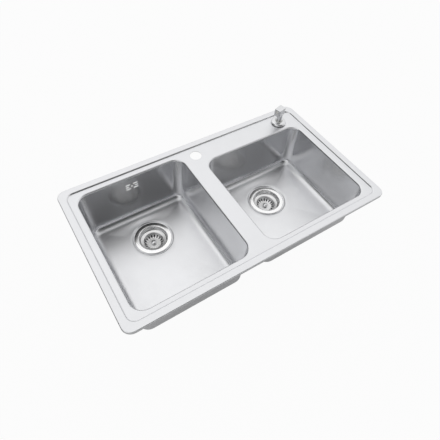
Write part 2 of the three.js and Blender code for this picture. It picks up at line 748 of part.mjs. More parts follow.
// Moulded body below the floor: flange, tapering cup, spider for the screw, and threaded tail.
function wasteCup() {
  const top = -SHEET - GASKET_HEIGHT - 2 * SEAT_GAP;
  const rimLow = top - WASTE_WALL - SHEET;
  const tailTop = -WASTE_LENGTH + TAIL_LENGTH;
  const bore = TRAP_THREAD_RADIUS - TAIL_WALL;
  const mouth = DRAIN_RADIUS + SEAL_MARGIN;
  const cone = CUP_RADIUS + WASTE_CLEARANCE;
  const shell = turned([
    at(mouth, top),
    at(FLANGE_RADIUS + SHEET, top),
    at(FLANGE_RADIUS + SHEET, rimLow),
    at(mouth + WASTE_WALL, rimLow),
    at(mouth + WASTE_WALL, -WASTE_SHOULDER - SHEET),
    at(cone + WASTE_WALL, -WASTE_SHOULDER - WASTE_CONE - SHEET),
    at(cone + WASTE_WALL - WASTE_TAPER, tailTop + WASTE_FUNNEL - WASTE_TAPER),
    at(TRAP_THREAD_RADIUS, tailTop),
    at(TRAP_THREAD_RADIUS, -WASTE_LENGTH),
    at(bore, -WASTE_LENGTH),
    at(bore, tailTop + SHEET),
    at(cone - WASTE_TAPER, tailTop + WASTE_FUNNEL),
    at(cone, -WASTE_SHOULDER - WASTE_CONE),
    at(mouth, -WASTE_SHOULDER),
  ], HIDDEN_STEPS);
  const spiderTop = dimpleFloor - SHEET - SEAT_GAP;
  const spiderLow = spiderTop - SPIDER_HEIGHT;
  const ribs = [0, 1, 2].map((i) =>
    box(0, cone - SEAT_GAP, -WASTE_WALL / 2, WASTE_WALL / 2, spiderLow + WASTE_WALL, spiderTop - WASTE_TAPER)
      .rotateZ((i * 2 * Math.PI) / 3));
  const boss = rod(SCREW_HEAD_RADIUS, spiderLow, spiderTop, SMALL_STEPS);
  const hole = rod(SCREW_RADIUS + SEAT_GAP, spiderLow - SHEET, spiderTop + SHEET, SMALL_STEPS);
  return cut(joined(shell, boss, ...ribs), hole);
}

// Centre screw that clamps the floor between the flange and the moulded body. The basket's stem
// snaps into its hollow head.
function wasteScrew() {
  const low = dimpleFloor + SEAT_GAP;
  const top = low + SCREW_HEAD_HEIGHT;
  return turned([
    at(0, low - SCREW_LENGTH + SCREW_HEAD_HEIGHT),
    at(SCREW_RADIUS, low - SCREW_LENGTH + SCREW_HEAD_HEIGHT),
    at(SCREW_RADIUS, low),
    at(SCREW_HEAD_RADIUS, low),
    at(SCREW_HEAD_RADIUS, top),
    at(SOCKET_RADIUS, top),
    at(SOCKET_RADIUS, top - SOCKET_DEPTH),
    at(0, top - SOCKET_DEPTH),
  ], SMALL_STEPS);
}

// Pressed basket: rim that rests on the ledge, slotted wall, and a dished floor.
function basket() {
  const ledgeAt = (r) => THREE.MathUtils.mapLinear(r, LEDGE_EDGE, LEDGE_RADIUS, -LEDGE_DROP, cupMouth);
  const lift = BASKET_SHEET + BASKET_CLEARANCE;
  const face = [
    at(BASKET_RADIUS, ledgeAt(BASKET_RADIUS) + lift),
    at(LEDGE_RADIUS - SHEET, ledgeAt(LEDGE_RADIUS - SHEET) + lift),
    at(BASKET_MOUTH, cupMouth - BASKET_SHEET),
    at(BASKET_FOOT, basketFloor + BASKET_CORNER),
    at(BASKET_FOOT - BASKET_CORNER, basketFloor),
    at(STEM_RADIUS + SEAT_GAP, basketFloor + BASKET_DISH),
  ];
  const shell = turned(sheetOutline(face, -BASKET_SHEET), 2 * BASKET_SLOTS);
  const slots = Array.from({ length: BASKET_SLOTS }, (_, i) => {
    const turn = ((i + 0.25) * 2 * Math.PI) / BASKET_SLOTS;
    return box(BASKET_FOOT - BASKET_CORNER, BASKET_MOUTH + BASKET_CORNER,
      -BASKET_SLOT_WIDTH / 2, BASKET_SLOT_WIDTH / 2,
      basketFloor + BASKET_SLOT_FOOT, cupMouth - BASKET_SLOT_TOP).rotateZ(turn);
  });
  return cut(shell, ...slots);
}

function basketKnob() {
  const foot = basketFloor + BASKET_DISH + SEAT_GAP;
  const top = -KNOB_DROP;
  const bore = STEM_RADIUS + SEAT_GAP;
  const dome = arc(0, 0, 1, 90, 0, 4).map((p) => at(KNOB_RADIUS * p.x, top - KNOB_DOME * (1 - p.y)));
  dome[0].x = 0;
  return turned([
    ...dome,
    at(KNOB_RADIUS - KNOB_EDGE, top - KNOB_DOME - KNOB_EDGE),
    at(KNOB_NECK, top - KNOB_SOCKET),
    at(KNOB_NECK, foot + KNOB_EDGE),
    at(KNOB_NECK + KNOB_EDGE, foot),
    at(bore, foot),
    at(bore, top - KNOB_SOCKET),
    at(0, top - KNOB_SOCKET),
  ], HIDDEN_STEPS);
}

// Stem through knob, basket and stopper, with a split bulb that snaps into the centre screw.
function basketStem() {
  const low = dimpleFloor + SEAT_GAP + SCREW_HEAD_HEIGHT - SOCKET_DEPTH + SEAT_GAP;
  const top = -KNOB_DROP - KNOB_SOCKET - SEAT_GAP;
  const waist = STEM_RADIUS - BULB_WAIST;
  return turned([
    at(0, top),
    at(STEM_RADIUS, top),
    at(STEM_RADIUS, low + BULB_LENGTH + BULB_WAIST),
    at(waist, low + BULB_LENGTH),
    at(STEM_RADIUS, low + BULB_LENGTH / 2),
    at(waist, low),
    at(0, low),
  ], SMALL_STEPS);
}

// Rubber stopper under the basket, with a hub up to the basket's floor.
function basketStopper() {
  const low = cupFloor + SEAT_GAP;
  const top = low + STOPPER_HEIGHT;
  const web = top - STOPPER_LIP;
  const hubTop = basketFloor - BASKET_SHEET - SEAT_GAP;
  const bore = STEM_RADIUS + SEAT_GAP;
  return turned([
    at(SCREW_HEAD_RADIUS + SHEET, low),
    at(STOPPER_RADIUS - STOPPER_LIP, low),
    at(STOPPER_RADIUS, low + STOPPER_LIP),
    at(STOPPER_RADIUS - STOPPER_LIP / 2, top),
    at(SCREW_HEAD_RADIUS + STOPPER_LIP, top),
    at(SCREW_HEAD_RADIUS, hubTop),
    at(bore, hubTop),
    at(bore, web),
    at(SCREW_HEAD_RADIUS + SHEET, web),
  ], HIDDEN_STEPS);
}

// ---- Soap dispenser -----------------------------------------------------------------------
// Heights here are measured from the worktop, and the axis is the pump's.

const washerTop = DECK_FACE + SEAT_GAP + WASHER_HEIGHT;
const collarFoot = washerTop + SEAT_GAP;
const collarTop = collarFoot + COLLAR_HEIGHT;
const shankEnd = DECK_BACK - SHANK_LENGTH;
const headFoot = HEAD_TOP - HEAD_HEIGHT;
const nutTop = DECK_BACK - SEAT_GAP;
const nutFoot = nutTop - NUT_HEIGHT;
const lipFoot = collarTop - LIP_SEAT + SEAT_GAP;
const sleeveFoot = collarTop - SLEEVE_OVERLAP;
const guideEnd = sleeveFoot - PUMP_TRAVEL - PUMP_WALL;
const pistonTop = guideEnd - PUMP_WALL / 2;
const pistonFoot = pistonTop - PISTON_HEIGHT;
const cylinderEnd = pistonFoot - SPRING_LENGTH;

// Domed collar in one with the threaded shank that passes through the deck.
function dispenserCollar() {
  const shoulder = SHANK_BORE + LIP_WIDTH + 2 * SEAT_GAP;
  const domeFoot = collarFoot + COLLAR_EDGE;
  const dome = arc(0, 0, 1, 0, 90, 4).map((p) => at(
    shoulder + (COLLAR_RADIUS - shoulder) * p.x, domeFoot + (collarTop - domeFoot) * p.y));
  return turned([
    at(SHANK_BORE, shankEnd),
    at(SHANK_RADIUS, shankEnd),
    at(SHANK_RADIUS, collarFoot),
    at(COLLAR_RADIUS, collarFoot),
    ...dome,
    at(SHANK_BORE + LIP_WIDTH + SEAT_GAP, collarTop),
    at(SHANK_BORE + LIP_WIDTH + SEAT_GAP, collarTop - LIP_SEAT),
    at(SHANK_BORE, collarTop - LIP_SEAT),
  ]);
}

function collarWasher() {
  return ring(SHANK_RADIUS + SEAT_GAP, COLLAR_RADIUS - COLLAR_EDGE, DECK_FACE + SEAT_GAP, washerTop,
    HIDDEN_STEPS);
}

// Wing nut under the deck: a moulded ring with grip ribs.
function dispenserNut() {
  const bore = SHANK_RADIUS + SEAT_GAP;
  const core = NUT_RADIUS - NUT_GRIP;
  const body = ring(bore, core, nutFoot, nutTop, HIDDEN_STEPS);
  const flange = ring(bore, NUT_RADIUS, nutTop - NUT_FLANGE, nutTop, HIDDEN_STEPS);
  const grips = Array.from({ length: NUT_GRIPS }, (_, i) =>
    box(core - 1, NUT_RADIUS, -NUT_FLANGE / 2, NUT_FLANGE / 2, nutFoot, nutTop - 1)
      .rotateZ((2 * Math.PI * i) / NUT_GRIPS));
  return joined(body, flange, ...grips);
}

// Blow-moulded bottle that screws onto the lower end of the shank.
function dispenserBottle() {
  const neckTop = nutFoot - SEAT_GAP - BOTTLE_WALL;
  const neck = SHANK_RADIUS + SEAT_GAP + BOTTLE_WALL;
  const shoulder = shankEnd - BOTTLE_FOOT - BOTTLE_SHOULDER;
  const footTop = -BOTTLE_BOTTOM + BOTTLE_FOOT;
  const face = [
    at(neck, neckTop),
    at(neck, shankEnd),
    ...arc(BOTTLE_RADIUS - BOTTLE_SHOULDER, shoulder, BOTTLE_SHOULDER, 80, 0, 3),
    ...arc(BOTTLE_RADIUS - BOTTLE_FOOT, footTop, BOTTLE_FOOT, 0, -90, 2),
    at(0, -BOTTLE_BOTTOM),
  ];
  return turned(closeOnAxis(sheetOutline(face, BOTTLE_WALL)), HIDDEN_STEPS);
}

// Moves the last point of the line and its twin on the other face onto the axis.
function closeOnAxis(outline) {
  const half = outline.length / 2;
  outline[half - 1].x = 0;
  outline[half].x = 0;
  return [...outline.slice(half), ...outline.slice(0, half)];
}

// Pump body: guide for the sleeve above, cylinder for the piston below, and the tube's nipple.
function pumpBody() {
  const guide = SLEEVE_RADIUS + SEAT_GAP;
  const outer = SHANK_BORE - SEAT_GAP;
  const lip = SHANK_BORE + LIP_WIDTH;
  const cylinder = PISTON_RADIUS + SEAT_GAP;
  const nippleTop = cylinderEnd - NIPPLE_CONE;
  const nippleEnd = nippleTop - NIPPLE_LENGTH;
  return turned([
    at(guide, lipFoot + LIP_HEIGHT),
    at(lip, lipFoot + LIP_HEIGHT),
    at(lip, lipFoot),
    at(outer, lipFoot),
    at(outer, guideEnd - PUMP_WALL),
    at(cylinder + PUMP_WALL, guideEnd - 2 * PUMP_WALL),
    at(cylinder + PUMP_WALL, cylinderEnd),
    at(NIPPLE_RADIUS, nippleTop),
    at(NIPPLE_RADIUS, nippleEnd),
    at(NIPPLE_RADIUS / 2, nippleEnd),
    at(NIPPLE_RADIUS / 2, cylinderEnd + 1),
    at(cylinder, cylinderEnd + 1),
    at(cylinder, guideEnd - 1),
    at(guide, guideEnd),
  ], HIDDEN_STEPS);
}

function dipTube() {
  const top = cylinderEnd - NIPPLE_CONE - SEAT_GAP;
  const bore = NIPPLE_RADIUS + SEAT_GAP;
  return ring(bore, bore + TUBE_WALL, -BOTTLE_BOTTOM + BOTTLE_FOOT, top, SMALL_STEPS);
}

// Piston and hollow stem in one moulding; the head turns on the stem's upper end.
function pumpStem() {
  return turned([
    at(STEM_BORE, pistonFoot),
    at(PISTON_RADIUS, pistonFoot),
    at(PISTON_RADIUS, pistonTop),
    at(PUMP_STEM_RADIUS, pistonTop + PUMP_WALL),
    at(PUMP_STEM_RADIUS, headFoot + STEM_SOCKET),
    at(STEM_BORE, headFoot + STEM_SOCKET),
  ], SMALL_STEPS);
}

// Return spring between the piston and the end of the cylinder.
function pumpSpring() {
  const low = cylinderEnd + 1 + SEAT_GAP + SPRING_WIRE;
  const high = pistonFoot - SEAT_GAP - SPRING_WIRE;
  const stepsPerTurn = 8;
  const count = SPRING_TURNS * stepsPerTurn;
  const skin = new Skin();
  const loops = Array.from({ length: count + 1 }, (_, i) => {
    const angle = (2 * Math.PI * i) / stepsPerTurn;
    const out = new THREE.Vector3(Math.cos(angle), Math.sin(angle), 0);
    const middle = out.clone().multiplyScalar(SPRING_RADIUS).setZ(low + ((high - low) * i) / count);
    const up = new THREE.Vector3(0, 0, 1);
    return skin.loop(arc(0, 0, SPRING_WIRE, 0, 270, 3).map((p) =>
      middle.clone().addScaledVector(out, p.x).addScaledVector(up, p.y)));
  });
  loops.slice(1).forEach((loop, i) => skin.band(loops[i], loop));
  skin.cap(loops.at(-1));
  skin.turnOver();
  skin.cap(loops[0]);
  return skin.geometry();
}

// Polished tube between head and collar; it goes down into the collar with the head.
function pumpSleeve() {
  return ring(SLEEVE_RADIUS - SLEEVE_WALL, SLEEVE_RADIUS, sleeveFoot, headFoot - SEAT_GAP);
}

// A plug along X at the outlet's height, as a tool or a piece.
function spoutPlug(radius, from, to) {
  return new THREE.CylinderGeometry(radius, radius, to - from, 16)
    .rotateZ(Math.PI / 2)
    .translate((from + to) / 2, 0, HEAD_TOP - SPOUT_DROP);
}

// Box-shaped head with rounded edges. A passage leads from the stem to the outlet in its end.
function dispenserHead() {
  const x0 = -HEAD_REACH + HEAD_BEVEL;
  const x1 = HEAD_LENGTH - HEAD_REACH - HEAD_BEVEL;
  const w = HEAD_WIDTH / 2 - HEAD_BEVEL;
  const r = HEAD_ROUND - HEAD_BEVEL;
  const outline = [
    ...arc(x1 - r, w - r, r, 0, 90, 3),
    ...arc(x0 + r, w - r, r, 90, 180, 3),
    ...arc(x0 + r, r - w, r, 180, 270, 3),
    ...arc(x1 - r, r - w, r, 270, 360, 3),
  ];
  const block = new THREE.ExtrudeGeometry(new THREE.Shape(outline), {
    depth: HEAD_HEIGHT - 2 * HEAD_BEVEL,
    bevelThickness: HEAD_BEVEL,
    bevelSize: HEAD_BEVEL,
    bevelSegments: 2,
  }).translate(0, 0, headFoot + HEAD_BEVEL);
  const socketTop = HEAD_TOP - SPOUT_DROP + PASSAGE_RADIUS;
  const socket = rod(PUMP_STEM_RADIUS + SEAT_GAP, headFoot - 1, socketTop, SMALL_STEPS);
  const passage = spoutPlug(PASSAGE_RADIUS, -HEAD_REACH + SPOUT_LENGTH / 2, 0);
  const outlet = spoutPlug(SPOUT_RADIUS + SEAT_GAP, -HEAD_REACH - 1, -HEAD_REACH + SPOUT_LENGTH);
  return cut(block, socket, passage, outlet);
}

// Moulded outlet pressed into the head's end; it stands a little proud of it.
function spoutTip() {
  const end = -HEAD_REACH + SPOUT_LENGTH;
  const tip = spoutPlug(SPOUT_RADIUS, -HEAD_REACH - SPOUT_PROUD, end - SEAT_GAP);
  return cut(tip, spoutPlug(SPOUT_RADIUS / 2, -HEAD_REACH - 2 * SPOUT_PROUD, end + 1));
}

// ---- Assembly -----------------------------------------------------------------------------

const sink = new THREE.Group();

function add(parent, name, shape, look) {
  const mesh = new THREE.Mesh(shape, new THREE.MeshStandardMaterial(look));
  mesh.name = name;
  parent.add(mesh);
}

add(sink, 'top_deck', topDeck(), SATIN_STEEL);
add(sink, 'main_bowl', cut(drawnBowl(mainBowl), ...overflowTools()), SATIN_STEEL);
add(sink, 'side_bowl', drawnBowl(sideBowl), SATIN_STEEL);
add(sink, 'rim_seal', rimSeal(), FOAM);
add(sink, 'main_sound_pad', soundPad(mainBowl), DARK_RUBBER);
add(sink, 'side_sound_pad', soundPad(sideBowl), DARK_RUBBER);

const bracketShape = clipBracket();
const clawShape = clipClaw();
const clipScrewShape = clipScrew();
clipPlaces().forEach((place, i) => {
  const clip = new THREE.Group();
  clip.position.set(place.x, place.y, 0);
  clip.rotation.z = place.turn;
  add(clip, `clip_bracket_${i + 1}`, bracketShape, ZINC_STEEL);
  add(clip, `clip_claw_${i + 1}`, clawShape, ZINC_STEEL);
  add(clip, `clip_screw_${i + 1}`, clipScrewShape, ZINC_STEEL);
  sink.add(clip);
});

for (const [prefix, bowl] of [['main', mainBowl], ['side', sideBowl]]) {
  const waste = new THREE.Group();
  waste.position.set(bowl.drain.x, bowl.drain.y, bowl.seat);
  add(waste, `${prefix}_strainer_body`, strainerBody(), POLISHED_STEEL);
  add(waste, `${prefix}_flange_seal`, flangeSeal(), FOAM);
  add(waste, `${prefix}_floor_gasket`, floorGasket(), DARK_RUBBER);
  add(waste, `${prefix}_waste_cup`, wasteCup(), WHITE_PLASTIC);
  add(waste, `${prefix}_waste_screw`, wasteScrew(), POLISHED_STEEL);
  add(waste, `${prefix}_basket`, basket(), POLISHED_STEEL);
  add(waste, `${prefix}_basket_knob`, basketKnob(), CHROME);
  add(waste, `${prefix}_basket_stem`, basketStem(), POLISHED_STEEL);
  add(waste, `${prefix}_basket_stopper`, basketStopper(), DARK_RUBBER);
  sink.add(waste);
}

const dispenser = new THREE.Group();
dispenser.position.set(dispenserX, holeY, 0);
add(dispenser, 'dispenser_collar', dispenserCollar(), CHROME);
add(dispenser, 'dispenser_washer', collarWasher(), DARK_RUBBER);
add(dispenser, 'dispenser_nut', dispenserNut(), WHITE_PLASTIC);
add(dispenser, 'dispenser_bottle', dispenserBottle(), CLEAR_PLASTIC);
add(dispenser, 'pump_body', pumpBody(), WHITE_PLASTIC);
add(dispenser, 'pump_dip_tube', dipTube(), CLEAR_PLASTIC);
add(dispenser, 'pump_stem', pumpStem(), WHITE_PLASTIC);
add(dispenser, 'pump_spring', pumpSpring(), ZINC_STEEL);
const head = new THREE.Group();
head.rotation.z = THREE.MathUtils.degToRad(HEAD_TURN);
add(head, 'pump_sleeve', pumpSleeve(), CHROME);
add(head, 'dispenser_head', dispenserHead(), CHROME);
add(head, 'spout_tip', spoutTip(), WHITE_PLASTIC);
dispenser.add(head);
sink.add(dispenser);

export default sink;
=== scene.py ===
"""Looks for an inset steel kitchen sink: two drawn bowls in a rimmed deck, their basket wastes
and a soap dispenser. Sizes here are in millimetres, and those of patterns in metres; each mesh is
laid down in metres."""
import math

import bmesh
import bpy
from mathutils import Matrix, Vector


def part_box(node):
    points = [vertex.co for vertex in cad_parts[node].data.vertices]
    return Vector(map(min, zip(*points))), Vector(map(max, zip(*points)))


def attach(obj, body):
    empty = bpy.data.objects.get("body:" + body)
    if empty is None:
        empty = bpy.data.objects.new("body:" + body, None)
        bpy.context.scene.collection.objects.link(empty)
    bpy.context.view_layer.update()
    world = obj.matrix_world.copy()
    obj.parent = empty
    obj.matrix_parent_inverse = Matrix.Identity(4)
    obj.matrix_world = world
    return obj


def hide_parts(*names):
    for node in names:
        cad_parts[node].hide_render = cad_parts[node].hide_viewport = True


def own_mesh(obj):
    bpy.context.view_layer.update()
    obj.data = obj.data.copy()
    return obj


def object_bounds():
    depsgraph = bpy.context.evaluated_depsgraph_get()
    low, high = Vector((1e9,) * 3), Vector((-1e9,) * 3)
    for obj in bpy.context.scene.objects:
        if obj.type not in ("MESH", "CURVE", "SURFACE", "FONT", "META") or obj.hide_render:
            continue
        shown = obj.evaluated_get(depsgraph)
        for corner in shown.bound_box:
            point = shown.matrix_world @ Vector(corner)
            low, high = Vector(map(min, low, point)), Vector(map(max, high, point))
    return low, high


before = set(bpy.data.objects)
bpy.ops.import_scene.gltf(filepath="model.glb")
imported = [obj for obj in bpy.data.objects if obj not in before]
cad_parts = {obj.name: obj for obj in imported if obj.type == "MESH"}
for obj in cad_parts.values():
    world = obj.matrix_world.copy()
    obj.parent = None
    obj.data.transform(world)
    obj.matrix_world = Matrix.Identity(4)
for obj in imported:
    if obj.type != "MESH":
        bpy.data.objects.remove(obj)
cad_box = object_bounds()
MM = 0.001

# ---- View ---------------------------------------------------------------------------------
# The sink is seen from above its front left corner, through a normal wide lens held a little
# askew.
VIEW_FROM = Vector((-0.4098, -0.5256, 0.7983))
VIEW_AT = Vector((-0.0632, -0.0678, 0.0075))
VIEW_ROLL = math.radians(5.75)

camera = bpy.data.objects.new("camera", bpy.data.cameras.new("camera"))
camera.data.sensor_width = 36
camera.data.lens = 30.57
camera.location = VIEW_FROM
camera.rotation_mode = "QUATERNION"
camera.rotation_quaternion = (
    (VIEW_AT - VIEW_FROM).to_track_quat("-Z", "Y").to_matrix() @ Matrix.Rotation(VIEW_ROLL, 3, "Z")
).to_quaternion()
bpy.context.collection.objects.link(camera)
bpy.context.scene.camera = camera


# ---- Shader arithmetic --------------------------------------------------------------------
class Value:
    """A socket of a node tree that takes part in Python arithmetic."""

    def __init__(self, tree, socket=None):
        self.tree = tree
        self.socket = socket

    def node(self, kind, settings=None, inputs=None, output=0):
        """Adds a node, with its settings first and then its inputs, and gives one output."""
        made = self.tree.nodes.new(kind)
        for name, setting in (settings or {}).items():
            setattr(made, name, setting)
        for name, value in (inputs or {}).items():
            if isinstance(value, Value):
                self.tree.links.new(value.socket, made.inputs[name])
            else:
                made.inputs[name].default_value = value
        return Value(self.tree, made.outputs[output] if made.outputs else None)

    def math(self, operation, *terms):
        """A Math node over some terms, or over this value alone."""
        inputs = dict(enumerate(terms or (self,)))
        return self.node("ShaderNodeMath", {"operation": operation}, inputs)

    def __add__(self, other):
        return self.math("ADD", self, other)

    def __radd__(self, other):
        return self.math("ADD", other, self)

    def __sub__(self, other):
        return self.math("SUBTRACT", self, other)

    def __rsub__(self, other):
        return self.math("SUBTRACT", other, self)

    def __mul__(self, other):
        return self.math("MULTIPLY", self, other)

    def __rmul__(self, other):
        return self.math("MULTIPLY", other, self)

    def smooth(self, low, high):
        """0 below low and 1 above high, with a soft change between."""
        return self.node(
            "ShaderNodeMapRange", {"interpolation_type": "SMOOTHSTEP"},
            {"Value": self, "From Min": low, "From Max": high})

    def noise(self, size, stretch=(1, 1, 1), detail=3.0):
        """Noise from 0 to 1 over coordinates, with features of a size in metres."""
        scaled = self.node(
            "ShaderNodeMapping", None, {"Vector": self, "Scale": [1 / s for s in stretch]})
        return self.node(
            "ShaderNodeTexNoise", None, {"Vector": scaled, "Scale": 1 / size, "Detail": detail})

    def bump(self, depth, under=None):
        """The surface normal of this height, over a depth in metres, on top of another."""
        inputs = {"Height": self, "Distance": depth}
        if under is not None:
            inputs["Normal"] = under
        return self.node("ShaderNodeBump", None, inputs)

    def shade(self, low, high):
        """A colour between two greys or colours, by this value."""
        colours = [(c, c, c, 1) if isinstance(c, (int, float)) else (*c, 1) for c in (low, high)]
        return self.node(
            "ShaderNodeMix", {"data_type": "RGBA"},
            {"Factor": self, 6: colours[0], 7: colours[1]}, output=2)


def new_finish(name):
    """A new material, the coordinates of the piece it is on, and a function for its shader."""
    material = bpy.data.materials.new(name)
    material.use_nodes = True
    tree = material.node_tree
    shader = tree.nodes["Principled BSDF"]

    def set_shader(**values):
        for key, value in values.items():
            socket = shader.inputs[key.replace("_", " ")]
            if isinstance(value, Value):
                tree.links.new(value.socket, socket)
            else:
                socket.default_value = value

    return material, Value(tree).node("ShaderNodeTexCoord", output="Object"), set_shader


# ---- Floor and light ----------------------------------------------------------------------
# A white studio, brightest overhead and a little behind. Two dim screens in it, high in front of
# the sink and low on its left, are what the bowls' walls and the steps of the rim mirror.
AMBIENT = 0.8  # what falls on dull surfaces
SKY = 1.0  # what metal mirrors away from the patches
PATCHES = (  # way to a patch of the sky, its soft edge, its full core and its change of brightness
    ((0.0, 0.35, 0.94), 0.6, 1.0, 0.18),
    ((0.05, -0.64, 0.77), 0.7, 0.96, -0.98),
    ((-0.9, 0.35, 0.25), 0.82, 0.93, -0.95))
WHITE = (1, 1, 1, 1)
PAPER_GREY = (0.55, 0.55, 0.55, 1)
PAPER_GLOW = 0.95  # share of the paper that shows as plain white; the rest takes the shadow
PAPER_MIRRORED = 0.1  # the same share in what the metal mirrors
FLOOR_REACH = 8.0


def ray_kinds(value):
    """Masks of the camera's own rays, of mirrored rays and of rays through something clear."""
    return [
        value.node("ShaderNodeLightPath", output=f"Is {kind} Ray")
        for kind in ("Camera", "Glossy", "Transmission")]


world = bpy.data.worlds.new("studio")
world.use_nodes = True
world.node_tree.nodes.clear()
air = Value(world.node_tree)
camera_ray, glossy_ray, clear_ray = ray_kinds(air)
way = air.node("ShaderNodeTexCoord", output="Generated")
mirrored = SKY
for patch, edge, core, change in PATCHES:
    facing = way.node(
        "ShaderNodeVectorMath", {"operation": "DOT_PRODUCT"}, {0: way, 1: patch}, "Value")
    mirrored = mirrored + facing.smooth(edge, core) * change
seen = camera_ray + clear_ray
other_rays = 1 - seen - glossy_ray
strength = seen + glossy_ray * mirrored + other_rays.math("MAXIMUM", other_rays, 0.0) * AMBIENT
sky = air.node("ShaderNodeBackground", None, {"Color": WHITE, "Strength": strength})
air.node("ShaderNodeOutputWorld", None, {"Surface": sky})
bpy.context.scene.world = world
bpy.context.scene.view_settings.view_transform = "Standard"

paper, _, set_shader = new_finish("floor_paper")
set_shader(Base_Color=PAPER_GREY, Roughness=0.9)
tree = Value(paper.node_tree)
lit = Value(paper.node_tree, paper.node_tree.nodes["Principled BSDF"].outputs[0])
glow = tree.node("ShaderNodeEmission", None, {"Color": WHITE, "Strength": 1.0})
camera_ray, glossy_ray, clear_ray = ray_kinds(tree)
share = (camera_ray + clear_ray) * PAPER_GLOW + glossy_ray * PAPER_MIRRORED
mixed = tree.node("ShaderNodeMixShader", None, {0: share, 1: lit, 2: glow})
paper.node_tree.links.new(mixed.socket, paper.node_tree.nodes["Material Output"].inputs["Surface"])

floor_level = cad_box[0].z
floor_corners = [
    (x * FLOOR_REACH, y * FLOOR_REACH, floor_level)
    for x, y in ((-1, -1), (1, -1), (1, 1), (-1, 1))]
floor_mesh = bpy.data.meshes.new("floor")
floor_mesh.from_pydata(floor_corners, [], [(0, 1, 2, 3)])
floor_mesh.materials.append(paper)
floor = bpy.data.objects.new("floor", floor_mesh)
bpy.context.collection.objects.link(floor)


# ---- Deck ---------------------------------------------------------------------------------
# The deck is one pressing of 1 mm satin steel. Its outer edge is rolled down to the worktop, a
# step goes down from the rim to the draining field, and two necks turn down into the bowls.
SHEET = 1.0
RIM_CORNER = 25.0
RIM_ROLL = 2.6
RIM_BAND = 20.3  # outer edge to the middle of the step
STEP_RUN = 4.0
STEP_CORNER = 22.0
STEP_DROP = 3.5
MOUTH_RADIUS = 5.0
BOWL_CORNER = 34.0
TAP_HOLE = 17.5
TAP_OFFSET = 45  # from the large bowl's right edge
DISPENSER_HOLE = 15.0
SUPPORT = 1.0  # width of the flat strip that keeps a bend's shading to itself
CORNER_STEPS = 12
BEND_STEPS = 10
CREASE = math.radians(38)
GRAIN_WIDTH = 0.0005
GRAIN_LENGTH = 90  # times its width
WALL_PAINTED_SHADE = 0.8  # painted shade: how far the walls' colour is darkened for the dim front that they mirror
DECK_DULLED = 0.4
STEEL_FRESH = (0.835, 0.84, 0.855)
# The darker colour serves both the walls' painted shade and the steel's real wear and duller deck.
STEEL_SHADED_AND_WORN = (0.675, 0.68, 0.695)
SATIN = 0.38
DRAWN_SMOOTHER = 0.19

deck_low, deck_high = (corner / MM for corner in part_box("top_deck"))
rim_face = deck_high.z
deck_face = rim_face - STEP_DROP
weld_level = deck_low.z


class Skin:
    """A surface laid as loops of points in millimetres, each joined to the last."""

    def __init__(self):
        self.mesh = bmesh.new()

    def loop(self, points):
        """Lays points and gives them back, for the bands and fills that use them."""
        return [self.mesh.verts.new(point) for point in points]

    def bands(self, loops, closed=True):
        """Joins loops of like count; the side that shows lies left of the walk round them."""
        for one, two in zip(loops, loops[1:]):
            for i in range(len(one) if closed else len(one) - 1):
                j = (i + 1) % len(one)
                corners = (one[i], one[j], two[j], two[i])
                self.mesh.faces.new(list(dict.fromkeys(corners)))

    def flat(self, loops, up=(0, 0, 1)):
        """Fills the flat area between closed loops."""
        edges = []
        for loop in loops:
            for one, two in zip(loop, loop[1:] + loop[:1]):
                edges.append(self.mesh.edges.get((one, two)) or self.mesh.edges.new((one, two)))
        bmesh.ops.triangle_fill(self.mesh, edges=edges, use_beauty=True, normal=up)

    def prism(self, outline, reach):
        """A closed bar: an outline, carried along a vector."""
        far_outline = [Vector(point) + Vector(reach) for point in outline]
        ends = [self.loop(outline), self.loop(far_outline)]
        self.bands(ends)
        for end in ends:
            self.mesh.faces.new(end)

    def piece(self, name, finish, *modifiers, place=Matrix(), outwards=False):
        """Makes the finished object. A modifier is given as its type and its settings."""
        if outwards:
            bmesh.ops.recalc_face_normals(self.mesh, faces=self.mesh.faces)
        bmesh.ops.transform(self.mesh, matrix=Matrix.Scale(MM, 4) @ place, verts=self.mesh.verts)
        mesh = bpy.data.meshes.new(name)
        self.mesh.to_mesh(mesh)
        self.mesh.free()
        mesh.materials.append(finish)
        return settle(name, mesh, *modifiers)


def settle(name, mesh, *modifiers):
    """An object with this mesh, its modifiers applied and its creases marked."""
    made = bpy.data.objects.new(name, mesh)
    bpy.context.collection.objects.link(made)
    for kind, settings in modifiers:
        modifier = made.modifiers.new(kind.lower(), kind)
        for key, value in settings.items():
            if hasattr(modifier, key):
                setattr(modifier, key, value)
            else:
                modifier[modifier.node_group.interface.items_tree[key].identifier] = value
    if modifiers:
        bpy.context.view_layer.update()
        shape = made.evaluated_get(bpy.context.evaluated_depsgraph_get())
        made.data = bpy.data.meshes.new_from_object(shape)
        made.modifiers.clear()
    made.data.name = name
    made.data.shade_smooth()
    made.data.set_sharp_from_angle(angle=CREASE)
    return made


def walled(thickness, even=True):
    """Gives a skin its wall, on the side away from the one that shows."""
    return "SOLIDIFY", {"thickness": thickness * MM, "offset": -1, "use_even_offset": even}


def arc(x, z, radius, start, end, steps, rise=None):
    """Points of an arc between two angles in degrees, both ends included. It is part of an oval
    where its rise isn't its radius."""
    turns = [math.radians(start + (end - start) * i / steps) for i in range(steps + 1)]
    rise = rise or radius
    return [(x + radius * math.cos(turn), z + rise * math.sin(turn)) for turn in turns]


